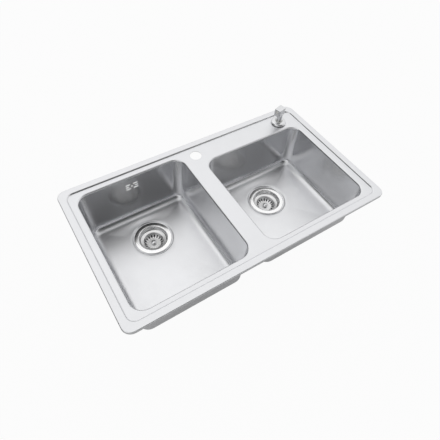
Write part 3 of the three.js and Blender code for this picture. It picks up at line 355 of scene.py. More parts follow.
def rounded(rect, inset, radius, z, side_steps=1):
    """An anticlockwise rounded rectangle, from a rectangle (x0, y0, x1, y1) drawn in."""
    x0, y0, x1, y1 = rect[0] + inset, rect[1] + inset, rect[2] - inset, rect[3] - inset
    centres = [(x1 - radius, y1 - radius), (x0 + radius, y1 - radius),
               (x0 + radius, y0 + radius), (x1 - radius, y0 + radius)]
    corners = [arc(*centre, radius, 90 * i, 90 * i + 90, CORNER_STEPS)
               for i, centre in enumerate(centres)]
    points = []
    for corner, after in zip(corners, corners[1:] + corners[:1]):
        (xa, ya), (xb, yb) = corner[-1], after[0]
        points += corner + [
            (xa + (xb - xa) * i / side_steps, ya + (yb - ya) * i / side_steps)
            for i in range(1, side_steps)]
    return [(x, y, z) for x, y in points]


def circle(x, y, radius, z, steps=64):
    """Points of a level circle, anticlockwise."""
    return [(px, py, z) for px, py in arc(x, y, radius, 0, 360, steps)[:-1]]


def rim_corner(inset):
    """Plan radius of the rim's corners: the band grows a little narrower round them."""
    if inset <= RIM_ROLL:
        return RIM_CORNER - inset
    if inset >= RIM_BAND:
        return STEP_CORNER - (inset - RIM_BAND)
    share = (inset - RIM_ROLL) / (RIM_BAND - RIM_ROLL)
    return (RIM_CORNER - RIM_ROLL) * (1 - share) + STEP_CORNER * share


def ease(share):
    """From 0 to 1 with level ends."""
    return (1 - math.cos(math.pi * share)) / 2


def ramp(run, drop, steps):
    """Points of a step with level ends, each as a way along and a way down."""
    return [(run * i / steps, drop * ease(i / steps)) for i in range(steps + 1)]


def satin_steel():
    """Steel with a silky grain, a little duller on the deck, its walls' colour darkened as painted
    shade where they mirror the dim front. The drawing has left the walls smoother and in faint
    long waves."""
    material, spot, set_shader = new_finish("satin_steel")
    height = spot.node("ShaderNodeSeparateXYZ", None, {"Vector": spot}, output="Z")
    on_deck = height.smooth(-0.006, 0.0)
    facing = spot.node("ShaderNodeNewGeometry", output="Normal")
    sideways, upwards = (
        spot.node("ShaderNodeSeparateXYZ", None, {"Vector": facing}, output=axis).math("ABSOLUTE")
        for axis in ("X", "Z"))
    sideways = sideways.smooth(0.5, 0.8)
    wall = 1 - upwards.smooth(0.45, 0.95)
    along_x = spot.noise(GRAIN_WIDTH, stretch=(GRAIN_LENGTH, 1, 1))
    along_y = spot.noise(GRAIN_WIDTH, stretch=(1, GRAIN_LENGTH, 1))
    grain = along_x * (1 - sideways) + along_y * sideways
    waves = spot.noise(0.075, stretch=(1, 1, 6), detail=2.0) * wall
    wear = spot.noise(0.03, detail=4.0)
    # Painted shade darkens the walls' colour by the way they face; the deck's duller finish, grain
    # and wear are the steel's own.
    painted_shade_and_wear = wall * WALL_PAINTED_SHADE + on_deck * DECK_DULLED + (grain + wear) * 0.1
    set_shader(
        Metallic=1.0, Base_Color=painted_shade_and_wear.shade(STEEL_FRESH, STEEL_SHADED_AND_WORN),
        Roughness=SATIN - DRAWN_SMOOTHER * wall + 0.06 * wear,
        Normal=grain.bump(0.000004, waves.bump(0.003)))
    return material


steel = satin_steel()
deck_rect = (deck_low.x, deck_low.y, deck_high.x, deck_high.y)


def inner_rect(node):
    """A bowl's opening, from the box round its outer face."""
    low, high = (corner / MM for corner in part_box(node))
    return (low.x + SHEET, low.y + SHEET, high.x - SHEET, high.y - SHEET)


main_rect = inner_rect("main_bowl")
side_rect = inner_rect("side_bowl")

step_start = RIM_BAND - STEP_RUN / 2
rim_line = [(0, 0)]
rim_line += arc(RIM_ROLL, rim_face - RIM_ROLL, RIM_ROLL, 180, 90, BEND_STEPS)
rim_line += [(RIM_ROLL + SUPPORT, rim_face), (step_start - SUPPORT, rim_face)]
rim_line += [
    (step_start + along, rim_face - down) for along, down in ramp(STEP_RUN, STEP_DROP, BEND_STEPS)]
rim_line += [(step_start + STEP_RUN + SUPPORT, deck_face)]

neck_line = [(-MOUTH_RADIUS - SUPPORT, deck_face)]
neck_line += arc(-MOUTH_RADIUS, deck_face - MOUTH_RADIUS, MOUTH_RADIUS, 90, 0, BEND_STEPS)
neck_line += [(0, weld_level)]

collar_low, collar_high = (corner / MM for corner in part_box("dispenser_collar"))
dispenser_x = (collar_low.x + collar_high.x) / 2
dispenser_y = (collar_low.y + collar_high.y) / 2
tap_x = main_rect[2] + TAP_OFFSET

deck = Skin()
rim_loops = [deck.loop(rounded(deck_rect, inset, rim_corner(inset), z)) for inset, z in rim_line]
deck.bands(rim_loops)
edges_of_field = [rim_loops[-1]]
for rect in (main_rect, side_rect):
    loops = [deck.loop(rounded(rect, inset, BOWL_CORNER - inset, z)) for inset, z in neck_line]
    deck.bands(loops)
    edges_of_field.append(loops[0])
for x, radius in ((tap_x, TAP_HOLE), (dispenser_x, DISPENSER_HOLE)):
    edges_of_field.append(deck.loop(circle(x, dispenser_y, radius, deck_face)))
deck.flat(edges_of_field)
sink_deck = deck.piece("sink_deck", steel, walled(SHEET))
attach(sink_deck, "sink")
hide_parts("top_deck")

# ---- Bowls --------------------------------------------------------------------------------
# Each bowl is deep-drawn from 1 mm sheet and seam-welded to its neck, with the weld ground away.
# The floor falls to a seat pressed for the waste. The large bowl has open overflow slots.
WALL_DRAFT = 5.0
FOOT_RADIUS = 24.0
FLOOR_FALL = 3.0
FLANGE_RADIUS = 56.0
SEAT_MARGIN = 2.5
SEAT_DEPTH = 2.5
SEAT_RUN = 4.0
DRAIN_RADIUS = 45.0
SEAT_GAP = 0.3
SIDE_STEPS = 24
FOOT_STEPS = 14
FLOOR_RINGS = 10
SEAT_STEPS = 6
OVERFLOW_DROP = 37.0
OVERFLOW_REACH = 19.0
OVERFLOW_SCREW = 2.6
SLOT_STARTS = (4.0, 9.0, 4.0)
SLOT_PITCH = 8.2
SLOT_RADIUS = 1.9
CUT_START = 15  # before the rear wall's face
CUT_DEPTH = 25


def waste_place(prefix):
    """The middle of a waste and the level of its seat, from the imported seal."""
    low, high = (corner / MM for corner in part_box(prefix + "_flange_seal"))
    return (low.x + high.x) / 2, (low.y + high.y) / 2, low.z - SEAT_GAP


def drawn_bowl(name, rect, waste, *modifiers):
    """A bowl's inner skin from the weld to the hole for its waste, thickened outwards."""
    x, y, seat = waste
    bottom = seat + SEAT_DEPTH
    foot = bottom + FLOOR_FALL
    centre = (WALL_DRAFT + FOOT_RADIUS, foot + FOOT_RADIUS)
    support_share = SUPPORT / (weld_level - centre[1])
    wall = [(0, weld_level), (WALL_DRAFT * (1 - support_share), centre[1] + SUPPORT)]
    wall += arc(*centre, FOOT_RADIUS, 180, 270, FOOT_STEPS)
    skin = Skin()
    loops = [
        skin.loop(rounded(rect, inset, BOWL_CORNER - inset, z, SIDE_STEPS)) for inset, z in wall]
    seat_outer = FLANGE_RADIUS + SEAT_MARGIN + SEAT_RUN
    foot_points = [Vector((v.co.x - x, v.co.y - y)) for v in loops[-1]]

    def ring(radius, z):
        return [(x + p.x / p.length * radius, y + p.y / p.length * radius, z) for p in foot_points]

    for i in range(1, FLOOR_RINGS):
        share = i / FLOOR_RINGS
        points = []
        for p in foot_points:
            spot = p * (1 - share) + p.normalized() * seat_outer * share
            points.append((x + spot.x, y + spot.y, foot - FLOOR_FALL * ease(share)))
        loops.append(skin.loop(points))
    for along, down in ramp(SEAT_RUN, SEAT_DEPTH, SEAT_STEPS):
        loops.append(skin.loop(ring(seat_outer - along, bottom - down)))
    loops.append(skin.loop(ring(DRAIN_RADIUS + SUPPORT, seat)))
    loops.append(skin.loop(ring(DRAIN_RADIUS, seat)))
    skin.bands(loops)
    return skin.piece(name, steel, walled(SHEET), *modifiers)


def overflow_cutters():
    """One object that holds a cutter for every slot and for the screw hole."""
    middle = (main_rect[0] + main_rect[2]) / 2
    level = deck_face - OVERFLOW_DROP
    back = main_rect[3]
    outlines = []
    for row, start in enumerate(SLOT_STARTS):
        z = level + (1 - row) * SLOT_PITCH
        near, far = start + SLOT_RADIUS, OVERFLOW_REACH - SLOT_RADIUS
        for side in (-1, 1):
            ends = sorted((side * near, side * far))
            outlines.append(
                arc(middle + ends[1], z, SLOT_RADIUS, -90, 90, BEND_STEPS)
                + arc(middle + ends[0], z, SLOT_RADIUS, 90, 270, BEND_STEPS))
    outlines.append(arc(middle, level, OVERFLOW_SCREW, 0, 360, 24)[:-1])
    skin = Skin()
    for outline in outlines:
        skin.prism([(x, back - CUT_START, z) for x, z in outline], (0, CUT_DEPTH, 0))
    return skin.piece("overflow_cutters", steel, outwards=True)


def less(tool):
    """Cuts the shape of another object away."""
    return "BOOLEAN", {"operation": "DIFFERENCE", "solver": "EXACT", "object": tool}


cutters = overflow_cutters()
large_bowl = drawn_bowl("large_bowl", main_rect, waste_place("main"), less(cutters))
bpy.data.objects.remove(cutters)
small_bowl = drawn_bowl("small_bowl", side_rect, waste_place("side"))
for bowl, node in ((large_bowl, "main_bowl"), (small_bowl, "side_bowl")):
    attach(bowl, "sink")
    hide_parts(node)


# ---- Strainer flanges ---------------------------------------------------------------------
# Each bowl drains through a cup pressed from steel, its rolled and polished flange bedded on a
# foam ring in the seat, with six outlets punched in its bottom. Heights in this and the next two
# sections are from the seat.
WASTES = (("large", "main"), ("small", "side"))
TURN_STEPS = 96
FLANGE_LINE = (
    (FLANGE_RADIUS, 0.3), (FLANGE_RADIUS, 3.1, 1.6), (42, 3.1, 3), (39.2, -13, 1.5),
    (30.2, -14.7, 1.5), (29, -42, 3), (9.6, -42, 1.2), (9, -45, 0.5), (3.3, -45))
OUTLETS = 6
OUTLET_RING = 17.5
OUTLET_RADIUS = 5.5
OUTLET_LEVELS = (-46, -38)
ROOT_FLAT = 1.4  # over 1, it leaves a screw thread's root flat
FLANK_SLOPE = 2.4


def filleted(*line, steps=4):
    """A line of radii and heights; where a third number is given, the corner is rounded by it."""
    points = []
    for i, (x, z, *fillet) in enumerate(line):
        if not fillet:
            points.append((x, z))
            continue
        corner = Vector((x, z))
        before = (Vector(line[i - 1][:2]) - corner).normalized()
        after = (Vector(line[(i + 1) % len(line)][:2]) - corner).normalized()
        half = before.angle(after) / 2
        centre = corner + (before + after).normalized() * fillet[0] / math.sin(half)
        start = corner + before * fillet[0] / math.tan(half) - centre
        end = corner + after * fillet[0] / math.tan(half) - centre
        begin = math.degrees(math.atan2(start.y, start.x))
        sweep = math.copysign(180 - 2 * math.degrees(half), start.cross(end))
        points += arc(*centre, fillet[0], begin, begin + sweep, steps)
    return points


class Turned(Skin):
    """A shape turned about the Z axis from a line of radii and heights."""

    def __init__(self, line, ring=False, steps=TURN_STEPS):
        super().__init__()
        loops = [
            [self.mesh.verts.new((0, 0, z))] * steps if radius < 1e-6
            else self.loop(circle(0, 0, radius, z, steps))
            for radius, z in line]
        self.bands(loops + loops[:1] if ring else loops)

    def press(self, radius, low, high, change):
        """Changes the radius of a face between two heights by a rule of angle and height."""
        for vert in self.mesh.verts:
            x, y, z = vert.co
            if abs(math.hypot(x, y) - radius) < 1e-3 and low < z < high:
                scale = 1 + change(math.atan2(y, x), z) / radius
                vert.co.x *= scale
                vert.co.y *= scale

    def thread(self, radius, low, high, pitch, depth):
        """Cuts a screw thread with flat crests and roots that runs out at both ends."""
        def groove(angle, z):
            phase = (z / pitch - angle / math.tau) % 1
            fade = min(1, (z - low) / pitch, (high - z) / pitch)
            flank = ROOT_FLAT - FLANK_SLOPE * abs(2 * phase - 1)
            return -depth * fade * min(1, max(0, flank))
        self.press(radius, low, high, groove)


def round_bar(x, y, radius, low, high, steps=32):
    """What prism() takes for an upright bar between two heights."""
    return circle(x, y, radius, low, steps), (0, 0, high - low)


def polished_steel(name, dullness):
    """Bright rolled steel with faint wiping marks; tumbled pieces are duller."""
    material, spot, set_shader = new_finish(name)
    marks = spot.noise(0.014, detail=4.0)
    dents = spot.noise(0.004, detail=1.0)
    set_shader(
        Metallic=1.0, Base_Color=marks.shade(0.82, 0.89), Roughness=dullness + 0.1 * marks,
        Normal=dents.bump(0.00002))
    return material


def foam():
    """Grey closed-cell strip; its cells show as a fine pitting."""
    material, spot, set_shader = new_finish("foam")
    cells = spot.node("ShaderNodeTexVoronoi", None, {"Vector": spot, "Scale": 900.0})
    set_shader(
        Base_Color=spot.noise(0.008).shade(0.035, 0.07), Roughness=0.95,
        Normal=cells.bump(0.0003))
    return material


def finish_piece(piece, body, slot_name, *nodes):
    """Sets a finished piece on its body and hides the nodes that it stands for. The name of its
    finish's slot is not used.
    """
    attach(piece, body)
    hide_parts(*nodes)


polished = polished_steel("polished_steel", 0.12)
grey_foam = foam()

for label, prefix in WASTES:
    place = Matrix.Translation(waste_place(prefix))
    holes = Skin()
    for i in range(OUTLETS):
        turn = math.tau * i / OUTLETS
        middle = OUTLET_RING * math.cos(turn), OUTLET_RING * math.sin(turn)
        holes.prism(*round_bar(*middle, OUTLET_RADIUS, *OUTLET_LEVELS))
    holes = holes.piece("outlets", polished, place=place, outwards=True)
    flange = Turned(filleted(*FLANGE_LINE, steps=6)).piece(
        label + "_flange", polished, walled(SHEET), less(holes), place=place)
    bpy.data.objects.remove(holes)
    finish_piece(flange, "sink", "polished_steel", prefix + "_strainer_body")
    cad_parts[prefix + "_flange_seal"].data.materials[0] = grey_foam
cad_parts["rim_seal"].data.materials[0] = grey_foam


# ---- Baskets ------------------------------------------------------------------------------
# A basket pressed from thin steel and tumbled dull sits on the flange's ledge, its slots punched
# round the bend. It is lifted by its plated knob, and the rubber stopper on its stem closes the
# outlets.
BASKET_SHEET = 0.8
BASKET_LINE = ((37.5, -11.9), (29.3, -13.65, 1.6), (27.4, -28.4, 9), (3.4, -27.6))
BASKET_SLOTS = 18
SLOT_HALF = 1.8
SLOT_ENDS = (-22.6, -28.1)
SLOT_BORDER = 0.8  # sheet beyond a slot's ends that belongs to its own ring of faces
ROW_GAP = 0.3  # a row of the sheet that lies nearer than this to the border is left out
ROW_STEPS = 8
SLOT_STEPS = 6
SEAM = 0.01
KNOB_BUTTON = ((0, -19), (0.9, -18.98), (1.6, -18.75), (2, -18.65))
KNOB_DOME = (8, 4)  # its reach and its rise
KNOB_ARC = (72, 6, 11)
KNOB_LINE = (
    (8, -22.5), (7.8, -23.6, 0.6), (6.6, -24.2, 0.5), (4.8, -25, 0.6), (4.8, -26, 0.5),
    (6.5, -27.3, 0.3), (3.4, -27.3), (3.4, -24.5), (0, -24.5))
STEM_LINE = (
    (0, -24.8), (3.1, -24.8, 0.3), (3.1, -38.9, 0.5), (2.3, -39.7, 0.4), (3.1, -41.5, 0.8),
    (2.3, -43.3, 0.4), (0, -43.3))
STOPPER_LINE = (
    (8, -41.7, 0.4), (25, -41.7, 0.9), (26.5, -40.1, 0.8), (25.8, -37.7, 0.5), (23.6, -37.7, 0.5),
    (22.9, -38.5, 0.5), (10, -38.5, 1), (7.2, -29.5, 0.6), (3.4, -29.5), (3.4, -39.3),
    (8, -39.3, 0.4))


def chrome(name, dullness):
    """Plating on a smooth moulding, with the softness of handling; brushed pieces are duller."""
    material, spot, set_shader = new_finish(name)
    handling = spot.noise(0.006, detail=4.0)
    set_shader(
        Metallic=1.0, Base_Color=handling.shade((0.68, 0.69, 0.7), (0.74, 0.74, 0.75)),
        Roughness=dullness + 0.08 * handling, Normal=spot.noise(0.01, detail=1.0).bump(0.00003))
    return material


def rubber():
    """Black moulded rubber, dusty and a little uneven."""
    material, spot, set_shader = new_finish("dark_rubber")
    dust = spot.noise(0.01, detail=5.0)
    pores = spot.noise(0.0012, detail=2.0)
    set_shader(
        Base_Color=dust.shade(0.016, 0.045), Roughness=0.55 + 0.3 * dust,
        Normal=pores.bump(0.00006))
    return material


def stamp_tree():
    """Sets a copy of a piece on every point, turned by that point's angle, and welds them."""
    tree = bpy.data.node_groups.new("stamp", "GeometryNodeTree")
    sockets = (
        ("Points", "Geometry"), ("Piece", "Object"), ("Finish", "Material"), ("Weld", "Float"))
    for name, kind in sockets:
        tree.interface.new_socket(name, in_out="INPUT", socket_type="NodeSocket" + kind)
    tree.interface.new_socket("Result", in_out="OUTPUT", socket_type="NodeSocketGeometry")
    node = Value(tree).node
    points, piece, finish, weld = (node("NodeGroupInput", output=name) for name, _ in sockets)
    shape = node("GeometryNodeObjectInfo", None, {"Object": piece}, output="Geometry")
    turn = node("GeometryNodeInputNamedAttribute", {"data_type": "FLOAT"}, {"Name": "turn"})
    axis = node("ShaderNodeCombineXYZ", None, {"Z": turn})
    turned = node("FunctionNodeEulerToRotation", None, {0: axis})
    copies = node("GeometryNodeInstanceOnPoints", None,
                  {"Points": points, "Instance": shape, "Rotation": turned})
    whole = node("GeometryNodeRealizeInstances", None, {"Geometry": copies})
    welded = node("GeometryNodeMergeByDistance", None, {"Geometry": whole, "Distance": weld})
    finished = node("GeometryNodeSetMaterial", None, {"Geometry": welded, "Material": finish})
    node("NodeGroupOutput", None, {"Result": finished})
    return tree


stamp = stamp_tree()


def stamped(name, piece, finish, places, *modifiers, weld=0.0):
    """Copies of a piece at places, each an x, a y and a turn in radians. The piece is used up."""
    points = bpy.data.meshes.new(name + "_points")
    points.from_pydata([(x * MM, y * MM, 0) for x, y, _ in places], [], [])
    turns = points.attributes.new("turn", "FLOAT", "POINT")
    turns.data.foreach_set("value", [turn for *_, turn in places])
    inputs = {"Piece": piece, "Finish": finish, "Weld": weld * MM}
    made = settle(name, points, ("NODES", {"node_group": stamp, **inputs}), *modifiers)
    bpy.data.objects.remove(piece)
    return made


def walker(line):
    """The point at a distance along a line, the distance at which it passes a height, and the
    distances of its own points."""
    marks = [0.0]
    for one, two in zip(line, line[1:]):
        marks.append(marks[-1] + math.dist(one, two))

    def at(distance):
        k = next(i for i, mark in enumerate(marks) if i and mark >= distance - 1e-9)
        share = (distance - marks[k - 1]) / (marks[k] - marks[k - 1])
        return [a + (b - a) * share for a, b in zip(line[k - 1], line[k])]

    def down_to(height):
        k = next(i for i, point in enumerate(line) if point[1] <= height)
        share = (height - line[k - 1][1]) / (line[k][1] - line[k - 1][1])
        return marks[k - 1] + (marks[k] - marks[k - 1]) * share

    return at, down_to, marks


def basket_sector():
    """One slot of the basket with the sheet round it, as wide as its share of the circle."""
    at, down_to, marks = walker(filleted(*BASKET_LINE, steps=12))
    half = math.pi / BASKET_SLOTS
    top, foot = (down_to(height) for height in SLOT_ENDS)
    border = (top - SLOT_BORDER, foot + SLOT_BORDER)
    caps = (top + SLOT_HALF, foot - SLOT_HALF)

    def on_sheet(distance, angle):
        radius, z = at(distance)
        return radius * math.cos(angle), radius * math.sin(angle), z

    def row(distance):
        turns = [half * (2 * i / ROW_STEPS - 1) for i in range(ROW_STEPS + 1)]
        return [on_sheet(distance, turn) for turn in turns]

    def in_slot(across, distance):
        return on_sheet(distance, across / at(distance)[0])

    def between(ends):
        return [ends[0] + (ends[1] - ends[0]) * i / SLOT_STEPS for i in range(1, SLOT_STEPS)]

    skin = Skin()
    rows_above = [mark for mark in marks if mark < border[0] - ROW_GAP] + [border[0]]
    rows_below = [border[1]] + [mark for mark in marks if mark > border[1] + ROW_GAP]
    upper = [skin.loop(row(mark)) for mark in rows_above]
    lower = [skin.loop(row(mark)) for mark in rows_below]
    skin.bands(upper, closed=False)
    skin.bands(lower, closed=False)
    left, right = (skin.loop([row(mark)[end] for mark in between(border)]) for end in (0, -1))
    turns = [math.pi * i / ROW_STEPS for i in range(ROW_STEPS + 1)]
    slot = [in_slot(-SLOT_HALF * math.cos(t), caps[0] - SLOT_HALF * math.sin(t)) for t in turns]
    slot += [in_slot(SLOT_HALF, mark) for mark in between(caps)]
    slot += [in_slot(SLOT_HALF * math.cos(t), caps[1] + SLOT_HALF * math.sin(t)) for t in turns]
    slot += [in_slot(-SLOT_HALF, mark) for mark in reversed(between(caps))]
    skin.bands([upper[-1] + right + lower[0][::-1] + left[::-1], skin.loop(slot)])
    return skin.piece("basket_sector", tumbled)


tumbled = polished_steel("tumbled_steel", 0.32)
plating = chrome("chrome", 0.05)
black_rubber = rubber()

for label, prefix in WASTES:
    place = Matrix.Translation(waste_place(prefix))
    body = prefix + "_basket_set"
    turns = [math.tau * i / BASKET_SLOTS for i in range(BASKET_SLOTS)]
    basket = stamped(
        label + "_basket", basket_sector(), tumbled, [(0, 0, turn) for turn in turns],
        walled(BASKET_SHEET, even=False), weld=SEAM)
    basket.data.transform(Matrix.Translation(Vector(waste_place(prefix)) * MM))
    finish_piece(basket, body, "polished_steel", prefix + "_basket")

    reach, rise = KNOB_DOME
    dome = arc(0, KNOB_LINE[0][1], reach, *KNOB_ARC, rise=rise)
    knob = Turned([*KNOB_BUTTON, *dome, *filleted(*KNOB_LINE)]).piece(
        label + "_knob", plating, place=place, outwards=True)
    finish_piece(knob, body, "chrome", prefix + "_basket_knob")
    stem = Turned(filleted(*STEM_LINE), steps=32).piece(
        label + "_stem", polished, place=place, outwards=True)
    finish_piece(stem, body, "polished_steel", prefix + "_basket_stem")
    stopper = Turned(filleted(*STOPPER_LINE), ring=True).piece(
        label + "_stopper", black_rubber, place=place, outwards=True)
    finish_piece(stopper, body, "dark_rubber", prefix + "_basket_stopper")


# ---- Waste cups ---------------------------------------------------------------------------
# A white moulded cup is drawn up against a rubber ring under each bowl by one long screw, which
# bites in the middle of the cup's spider. The trap goes on the pipe thread of the cup's tail, and
# rubber pads beside it deaden the bowl's floor.
SCREW_LINE = (
    (0, -76.2), (2.7, -76.2, 0.6), (2.7, -44.7), (7, -44.7, 0.5), (7, -40.2, 1),
    (3.6, -40.2, 0.4), (3.6, -44.2), (0, -44.2))
GRIP_RADIUS = 49.5
GRIP_LEVELS = (-19.5, -10)
GRIP_RIBS = 24
GRIP_HEIGHT = 1.4
TAIL_RADIUS = 23.9
TAIL_THREAD = (-105, -76)
PIPE_PITCH = 2.31
PIPE_DEPTH = 1.3
CUP_TOP = (
    (46.5, -4.6, 0.5), (57, -4.6, 0.8), (57, -8.6, 1), (GRIP_RADIUS, -8.6, 1.2),
    (GRIP_RADIUS, -10.5), (GRIP_RADIUS, -19), (GRIP_RADIUS, -21, 1.5), (35.8, -33, 4),
    (33.8, -66, 3), (TAIL_RADIUS, -74, 1.2))
CUP_FOOT = (
    (TAIL_RADIUS, -106, 0.7), (19.7, -106, 0.7), (19.7, -73, 2), (30.8, -64, 3), (32.8, -32, 4),
    (46.5, -20, 3))
BOSS_LINE = ((0, -46.3), (7, -46.3, 0.8), (7, -64.3, 0.8), (0, -64.3))
SPIDER_RIBS = 3
RIB_ENDS = (2, 32)
RIB_HALF = 1.5
RIB_HEIGHTS = (-61.3, -48.3)


def white_plastic():
    """White polypropylene with the faint flow and satin of a moulding."""
    material, spot, set_shader = new_finish("white_plastic")
    flow = spot.noise(0.02, stretch=(1, 1, 4), detail=3.0)
    satin = spot.noise(0.0006, detail=2.0)
    set_shader(
        Base_Color=flow.shade((0.74, 0.74, 0.71), (0.8, 0.8, 0.78)), Roughness=0.36 + 0.12 * flow,
        Normal=satin.bump(0.00001))
    return material


def stepped(radius, low, high, step):
    """Points up or down a straight face, close enough together for a thread."""
    count = max(1, round(abs(high - low) / step))
    return [(radius, low + (high - low) * i / count) for i in range(count + 1)]


def grip_rib(angle, z):
    return GRIP_HEIGHT * max(0, math.sin(GRIP_RIBS * angle))


white_mould = white_plastic()

for label, prefix in WASTES:
    place = Matrix.Translation(waste_place(prefix))
    screw = Turned(filleted(*SCREW_LINE), steps=32).piece(
        label + "_screw", polished, place=place, outwards=True)
    finish_piece(screw, "sink", "polished_steel", prefix + "_waste_screw")

    spider = Turned(filleted(*BOSS_LINE), steps=32)
    near, far = RIB_ENDS
    low, high = RIB_HEIGHTS
    for i in range(SPIDER_RIBS):
        side = Matrix.Rotation(math.tau * i / SPIDER_RIBS, 3, "Z")
        corners = ((near, -RIB_HALF), (far, -RIB_HALF), (far, RIB_HALF), (near, RIB_HALF))
        spider.prism([side @ Vector((x, y, low)) for x, y in corners], (0, 0, high - low))
    spider = spider.piece("spider", white_mould, place=place, outwards=True)
    thread_face = stepped(TAIL_RADIUS, TAIL_THREAD[1], TAIL_THREAD[0], PIPE_PITCH / 8)
    cup = Turned(filleted(*CUP_TOP, *thread_face, *CUP_FOOT), ring=True)
    cup.thread(TAIL_RADIUS, *TAIL_THREAD, PIPE_PITCH, PIPE_DEPTH)
    cup.press(GRIP_RADIUS, *GRIP_LEVELS, grip_rib)
    joined = {"operation": "UNION", "solver": "EXACT", "object": spider, "use_self": True}
    cup = cup.piece(
        label + "_waste_cup", white_mould, ("BOOLEAN", joined), place=place, outwards=True)
    bpy.data.objects.remove(spider)
    finish_piece(cup, "sink", "white_plastic", prefix + "_waste_cup")
    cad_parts[prefix + "_floor_gasket"].data.materials[0] = black_rubber
    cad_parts[prefix + "_sound_pad"].data.materials[0] = black_rubber


# ---- Dispenser collar ---------------------------------------------------------------------
# The dispenser stands on a brushed and plated collar over a rubber washer. Its threaded shank
# goes through the deck's small hole and is held from below by a moulded nut with six grips.
COLLAR_FOOT = ((12.6, 10.8), (11, 10.8, 0.3), (11, -31, 0.4), (14, -31, 0.6))
COLLAR_EDGE = ((14, 5.8), (24, 5.8, 0.3))
COLLAR_DOME = (12.9, 7.3, 11.1)  # the middle of its bend, and the bend's reach
DOME_RISE = 5.5
COLLAR_LIP = (12.6, 12.8)
SHANK_RADIUS = 14
SHANK_THREAD = (-30, 1)
SHANK_PITCH = 2.5
SHANK_DEPTH = 0.9
NUT_STEPS = 192
NUT_GRIPS = 6
NUT_BORE = 14.3
NUT_CORE = 20.0
NUT_EDGE = NUT_CORE + 4.0
NUT_LEVELS = (-6.3, 0.2, 2.7)
NUT_FOOT_BEVEL = 0.5
NUT_TOP_BEVEL = 0.4

brushed_plating = chrome("brushed_chrome", 0.24)
place = Matrix.Translation((dispenser_x, dispenser_y, 0))

thread_face = stepped(SHANK_RADIUS, *SHANK_THREAD, SHANK_PITCH / 8)
dome = arc(*COLLAR_DOME, 0, 90, 12, rise=DOME_RISE)
collar = Turned(
    filleted(*COLLAR_FOOT, *thread_face, *COLLAR_EDGE, *dome, COLLAR_LIP), ring=True)
collar.thread(SHANK_RADIUS, *SHANK_THREAD, SHANK_PITCH, SHANK_DEPTH)
collar = collar.piece("soap_collar", brushed_plating, place=place, outwards=True)
finish_piece(collar, "sink", "chrome", "dispenser_collar")
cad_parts["dispenser_washer"].data.materials[0] = black_rubber

foot, step, top = NUT_LEVELS
nut_line = (  # radius, height and how much of a grip the nut has there
    (NUT_BORE, top, 0), (NUT_BORE, foot, 0), (NUT_CORE - NUT_FOOT_BEVEL, foot, 0.8),
    (NUT_CORE, foot + NUT_FOOT_BEVEL, 1), (NUT_CORE, step, 1), (NUT_EDGE, step, 0),
    (NUT_EDGE, top - NUT_TOP_BEVEL, 0), (NUT_EDGE - NUT_TOP_BEVEL, top, 0))
nut = Skin()
nut_loops = []
for radius, z, gripped in nut_line:
    points = []
    for angle in (math.tau * i / NUT_STEPS for i in range(NUT_STEPS)):
        grip = max(0, math.cos(NUT_GRIPS * angle)) ** 8
        reach = radius + gripped * (NUT_EDGE - NUT_CORE) * grip
        points.append((reach * math.cos(angle), reach * math.sin(angle), z))
    nut_loops.append(nut.loop(points))
nut.bands(nut_loops + nut_loops[:1])
nut = nut.piece("soap_nut", white_mould, place=place, outwards=True)
finish_piece(nut, "sink", "white_plastic", "dispenser_nut")


# ---- Soap bottle and pump -----------------------------------------------------------------
# A cloudy blown bottle screws on to the shank. In its neck hangs the pump: a moulded barrel with
# its dip tube, and a piston that a steel spring holds up, in a bright sleeve above the deck.
BOTTLE_WALL = 1.5
BOTTLE_LINE = (
    (0, -148.4), (17, -149.2, 3), (20, -150, 0.8), (29, -150, 5), (29, -36, 10), (15.8, -35.6, 3),
    (15.8, -8.1))
PUMP_LINE = (
    (9.3, 12.5, 0.3), (12.3, 12.5, 0.4), (12.3, 11.1), (10.7, 11.1), (10.7, -6.8, 0.5),
    (7.8, -8.6, 0.5), (7.8, -34.9, 1), (2.2, -37.9, 0.5), (2.2, -42.9, 0.3), (1.1, -42.9),
    (1.1, -33.9), (6, -33.9), (6, -6), (9.3, -5))
TUBE_LINE = ((2.5, -145), (3.4, -145), (3.4, -38.2), (2.5, -38.2))
PISTON_LINE = (
    (1.2, -10.9), (5.7, -10.9, 0.4), (5.7, -5.9, 0.4), (3, -4.1, 0.5), (3, 49.5, 0.3), (1.2, 49.5))
SLEEVE_LINE = ((7, 8.8), (9, 8.8, 0.4), (9, 40.2, 0.4), (7, 40.2))
SPRING_WIRE = 0.55
SPRING_TURNS = 5
SPRING_STEPS = 24
WIRE_STEPS = 10


def clear_plastic():
    """Natural polyethylene, cloudy where the wall is thick."""
    material, spot, set_shader = new_finish("clear_plastic")
    cloud = spot.noise(0.03, detail=3.0)
    set_shader(
        Base_Color=cloud.shade((0.76, 0.8, 0.8), (0.88, 0.9, 0.9)), Roughness=0.3 + 0.15 * cloud,
        Transmission_Weight=0.8, IOR=1.5, Normal=spot.noise(0.012, detail=1.0).bump(0.0002))
    return material


def zinc_steel():
    """Zinc-plated steel with its pale frosted spangle."""
    material, spot, set_shader = new_finish("zinc_steel")
    grains = spot.node(
        "ShaderNodeTexVoronoi", None, {"Vector": spot, "Scale": 260.0}, output="Color")
    tone = grains.node("ShaderNodeSeparateColor", None, {"Color": grains})
    set_shader(
        Metallic=1.0, Base_Color=tone.shade((0.5, 0.52, 0.54), (0.62, 0.64, 0.66)),
        Roughness=0.32 + 0.18 * tone, Normal=spot.noise(0.0008).bump(0.00002))
    return material


cloudy_plastic = clear_plastic()
zinc = zinc_steel()

bottle = Turned(filleted(*BOTTLE_LINE, steps=8)).piece(
    "soap_bottle", cloudy_plastic, walled(BOTTLE_WALL), place=place)
finish_piece(bottle, "sink", "clear_plastic", "dispenser_bottle")

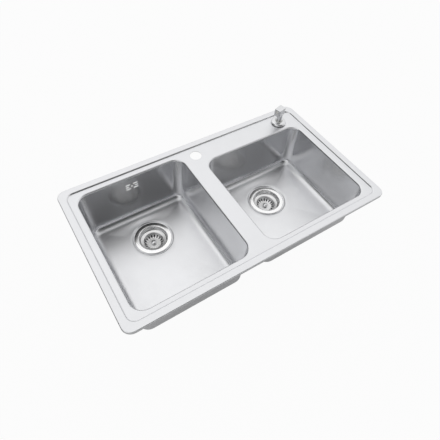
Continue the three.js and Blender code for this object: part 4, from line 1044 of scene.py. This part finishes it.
for name, node, body, finish, slot_name, line in (
        ("soap_pump", "pump_body", "pump", white_mould, "white_plastic", PUMP_LINE),
        ("soap_tube", "pump_dip_tube", "pump", cloudy_plastic, "clear_plastic", TUBE_LINE),
        ("soap_piston", "pump_stem", "pump_plunger", white_mould, "white_plastic", PISTON_LINE),
        ("soap_sleeve", "pump_sleeve", "pump_plunger", plating, "chrome", SLEEVE_LINE)):
    piece = Turned(filleted(*line), ring=True, steps=64).piece(
        name, finish, place=place, outwards=True)
    finish_piece(piece, body, slot_name, node)

spring_low, spring_high = (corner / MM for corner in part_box("pump_spring"))
coil_radius = (spring_high.x - spring_low.x) / 2 - SPRING_WIRE
coil_rise = spring_high.z - spring_low.z - 2 * SPRING_WIRE
coil_length = SPRING_TURNS * SPRING_STEPS
coil = Skin()
coil_rings = []
for i in range(coil_length + 1):
    turn = math.tau * i / SPRING_STEPS
    lift = spring_low.z + (SPRING_WIRE + coil_rise * i / coil_length)
    wire = arc(0, 0, SPRING_WIRE, 0, 360, WIRE_STEPS)[:-1]
    coil_rings.append(coil.loop([
        ((coil_radius + out) * math.cos(turn), (coil_radius + out) * math.sin(turn), lift + up)
        for out, up in wire]))
coil.bands(coil_rings)
for end in (coil_rings[0], coil_rings[-1]):
    coil.mesh.faces.new(end)
spring = coil.piece("soap_spring", zinc, place=place, outwards=True)
finish_piece(spring, "pump", "zinc_steel", "pump_spring")
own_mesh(spring)


# ---- Dispenser head -----------------------------------------------------------------------
# The boxy head is a brushed and plated casting, bored from below for the piston, on which it
# turns. A short white outlet is pressed into the recess of its end.
HEAD_RECT = (-22, -10.5, 9, 10.5)
HEAD_HEIGHTS = (40.5, 64)
HEAD_ROUND = 3.0
HEAD_EDGE = 1.2
HEAD_TURN = math.radians(15)
HEAD_BORE = 3.3
BORE_RUN_OUT = 5
SPOUT_HEIGHT = 56.0
SPOUT_LINE = ((2.5, 14.3), (5, 14.3), (5, 23.5, 0.7), (2.5, 23.5, 0.7))
SPOUT_RECESS = (5.3, 14)  # its radius, and how far its floor is from the head's axis
RECESS_RUN = 20

head_place = place @ Matrix.Rotation(HEAD_TURN, 4, "Z")
along_spout = Matrix.Translation((0, 0, SPOUT_HEIGHT)) @ Matrix.Rotation(-math.pi / 2, 4, "Y")
low, high = HEAD_HEIGHTS
hollows = Skin()
hollows.prism(*round_bar(0, 0, HEAD_BORE, low - BORE_RUN_OUT, SPOUT_HEIGHT))
recess_floor = [along_spout @ Vector(point) for point in circle(0, 0, *SPOUT_RECESS, 48)]
hollows.prism(recess_floor, (-RECESS_RUN, 0, 0))
hollows = hollows.piece("head_hollows", brushed_plating, place=head_place, outwards=True)

head_line = arc(HEAD_EDGE, high - HEAD_EDGE, HEAD_EDGE, 90, 180, 5)
head_line += arc(HEAD_EDGE, low + HEAD_EDGE, HEAD_EDGE, 180, 270, 5)
head = Skin()
head_loops = [
    head.loop(rounded(HEAD_RECT, inset, HEAD_ROUND - inset, z)) for inset, z in head_line]
head.bands(head_loops)
head.flat(head_loops[:1])
head.flat(head_loops[-1:], up=(0, 0, -1))
head = head.piece("soap_head", brushed_plating, less(hollows), place=head_place, outwards=True)
bpy.data.objects.remove(hollows)
finish_piece(head, "pump_head", "chrome", "dispenser_head")
spout = Turned(filleted(*SPOUT_LINE), ring=True, steps=48).piece(
    "soap_outlet", white_mould, place=head_place @ along_spout, outwards=True)
finish_piece(spout, "pump_head", "white_plastic", "spout_tip")


# ---- Worktop clips ------------------------------------------------------------------------
# Six zinc-plated clips hang under the rim: a bracket welded under the deck, a claw that is
# swung under the worktop, and the screw that pulls it tight. They stand parked along the rim.
CLIP_STEEL = 1.5
CLIP_BEVEL = 0.25
BRACKET_LINE = ((30.2, 2.7), (23.3, 2.7, 1), (23.3, -11, 2.5), (11.3, -11))
BRACKET_HALF = 9.0
CLAW_LINE = ((-8, -26), (18, -26, 3), (24, -22))
CLAW_HALF = 4.0
CLIP_HOLE = 2.3
CLIP_HOLE_LEVELS = (-40, 0)
CLIP_SCREW_Y = 17.3
CLIP_SCREW_LINE = ((0, -7), (2, -7, 0.4))
CLIP_HEAD_LINE = ((2, -27.8), (4, -27.8, 0.3), (4, -30.3, 0.8), (0, -30.3))
CLIP_SCREW_RADIUS = 2
CLIP_THREAD = (-27, -9)
CLIP_PITCH = 0.8
CLIP_THREAD_DEPTH = 0.35
SCREW_SLOT_HALF = (5, 0.6)
SCREW_SLOT_LEVELS = (-31, -29.1)

middle_x = [(rect[0] + rect[2]) / 2 for rect in (main_rect, side_rect)]
clip_places = [(x, deck_low.y, 0.0) for x in middle_x]
clip_places += [(x, deck_high.y, math.pi) for x in middle_x]
clip_places += [(deck_low.x, 0, -math.pi / 2), (deck_high.x, 0, math.pi / 2)]
SOFTEN = ("BEVEL", {
    "width": CLIP_BEVEL * MM, "segments": 2, "limit_method": "ANGLE",
    "angle_limit": math.radians(40)})


def clip_strip(name, line, half_width, along_x):
    """A bent strip with a hole for the clip's screw."""
    bar = Skin()
    bar.prism(*round_bar(0, CLIP_SCREW_Y, CLIP_HOLE, *CLIP_HOLE_LEVELS))
    bar = bar.piece("clip_hole", zinc, outwards=True)
    strip = Skin()
    loops = []
    for run, z in filleted(*line):
        edges = (half_width, -half_width)
        loops.append(strip.loop([
            (run, CLIP_SCREW_Y + edge, z) if along_x else (edge, run, z) for edge in edges]))
    strip.bands(loops, closed=False)
    piece = strip.piece(name, zinc, walled(CLIP_STEEL), less(bar), SOFTEN)
    bpy.data.objects.remove(bar)
    return piece


def clip_screw():
    """The threaded screw of a clip, with a slot in its head for the driver."""
    low, high = CLIP_THREAD
    shank = stepped(CLIP_SCREW_RADIUS, high, low, CLIP_PITCH / 6)
    screw = Turned(filleted(*CLIP_SCREW_LINE, *shank, *CLIP_HEAD_LINE), steps=24)
    screw.thread(CLIP_SCREW_RADIUS, low, high, CLIP_PITCH, CLIP_THREAD_DEPTH)
    x, y = SCREW_SLOT_HALF
    low, high = SCREW_SLOT_LEVELS
    slot = Skin()
    slot.prism([(-x, -y, low), (x, -y, low), (x, y, low), (-x, y, low)], (0, 0, high - low))
    place = Matrix.Translation((0, CLIP_SCREW_Y, 0))
    slot = slot.piece("screw_slot", zinc, place=place, outwards=True)
    piece = screw.piece("clip_screw", zinc, less(slot), place=place, outwards=True)
    bpy.data.objects.remove(slot)
    return piece


for kind, template in (
        ("bracket", clip_strip("clip_bracket", BRACKET_LINE, BRACKET_HALF, False)),
        ("claw", clip_strip("clip_claw", CLAW_LINE, CLAW_HALF, True)),
        ("screw", clip_screw())):
    clips = stamped(f"rim_clip_{kind}s", template, zinc, clip_places)
    nodes = [f"clip_{kind}_{i + 1}" for i in range(len(clip_places))]
    finish_piece(clips, "sink", "zinc_steel", *nodes)
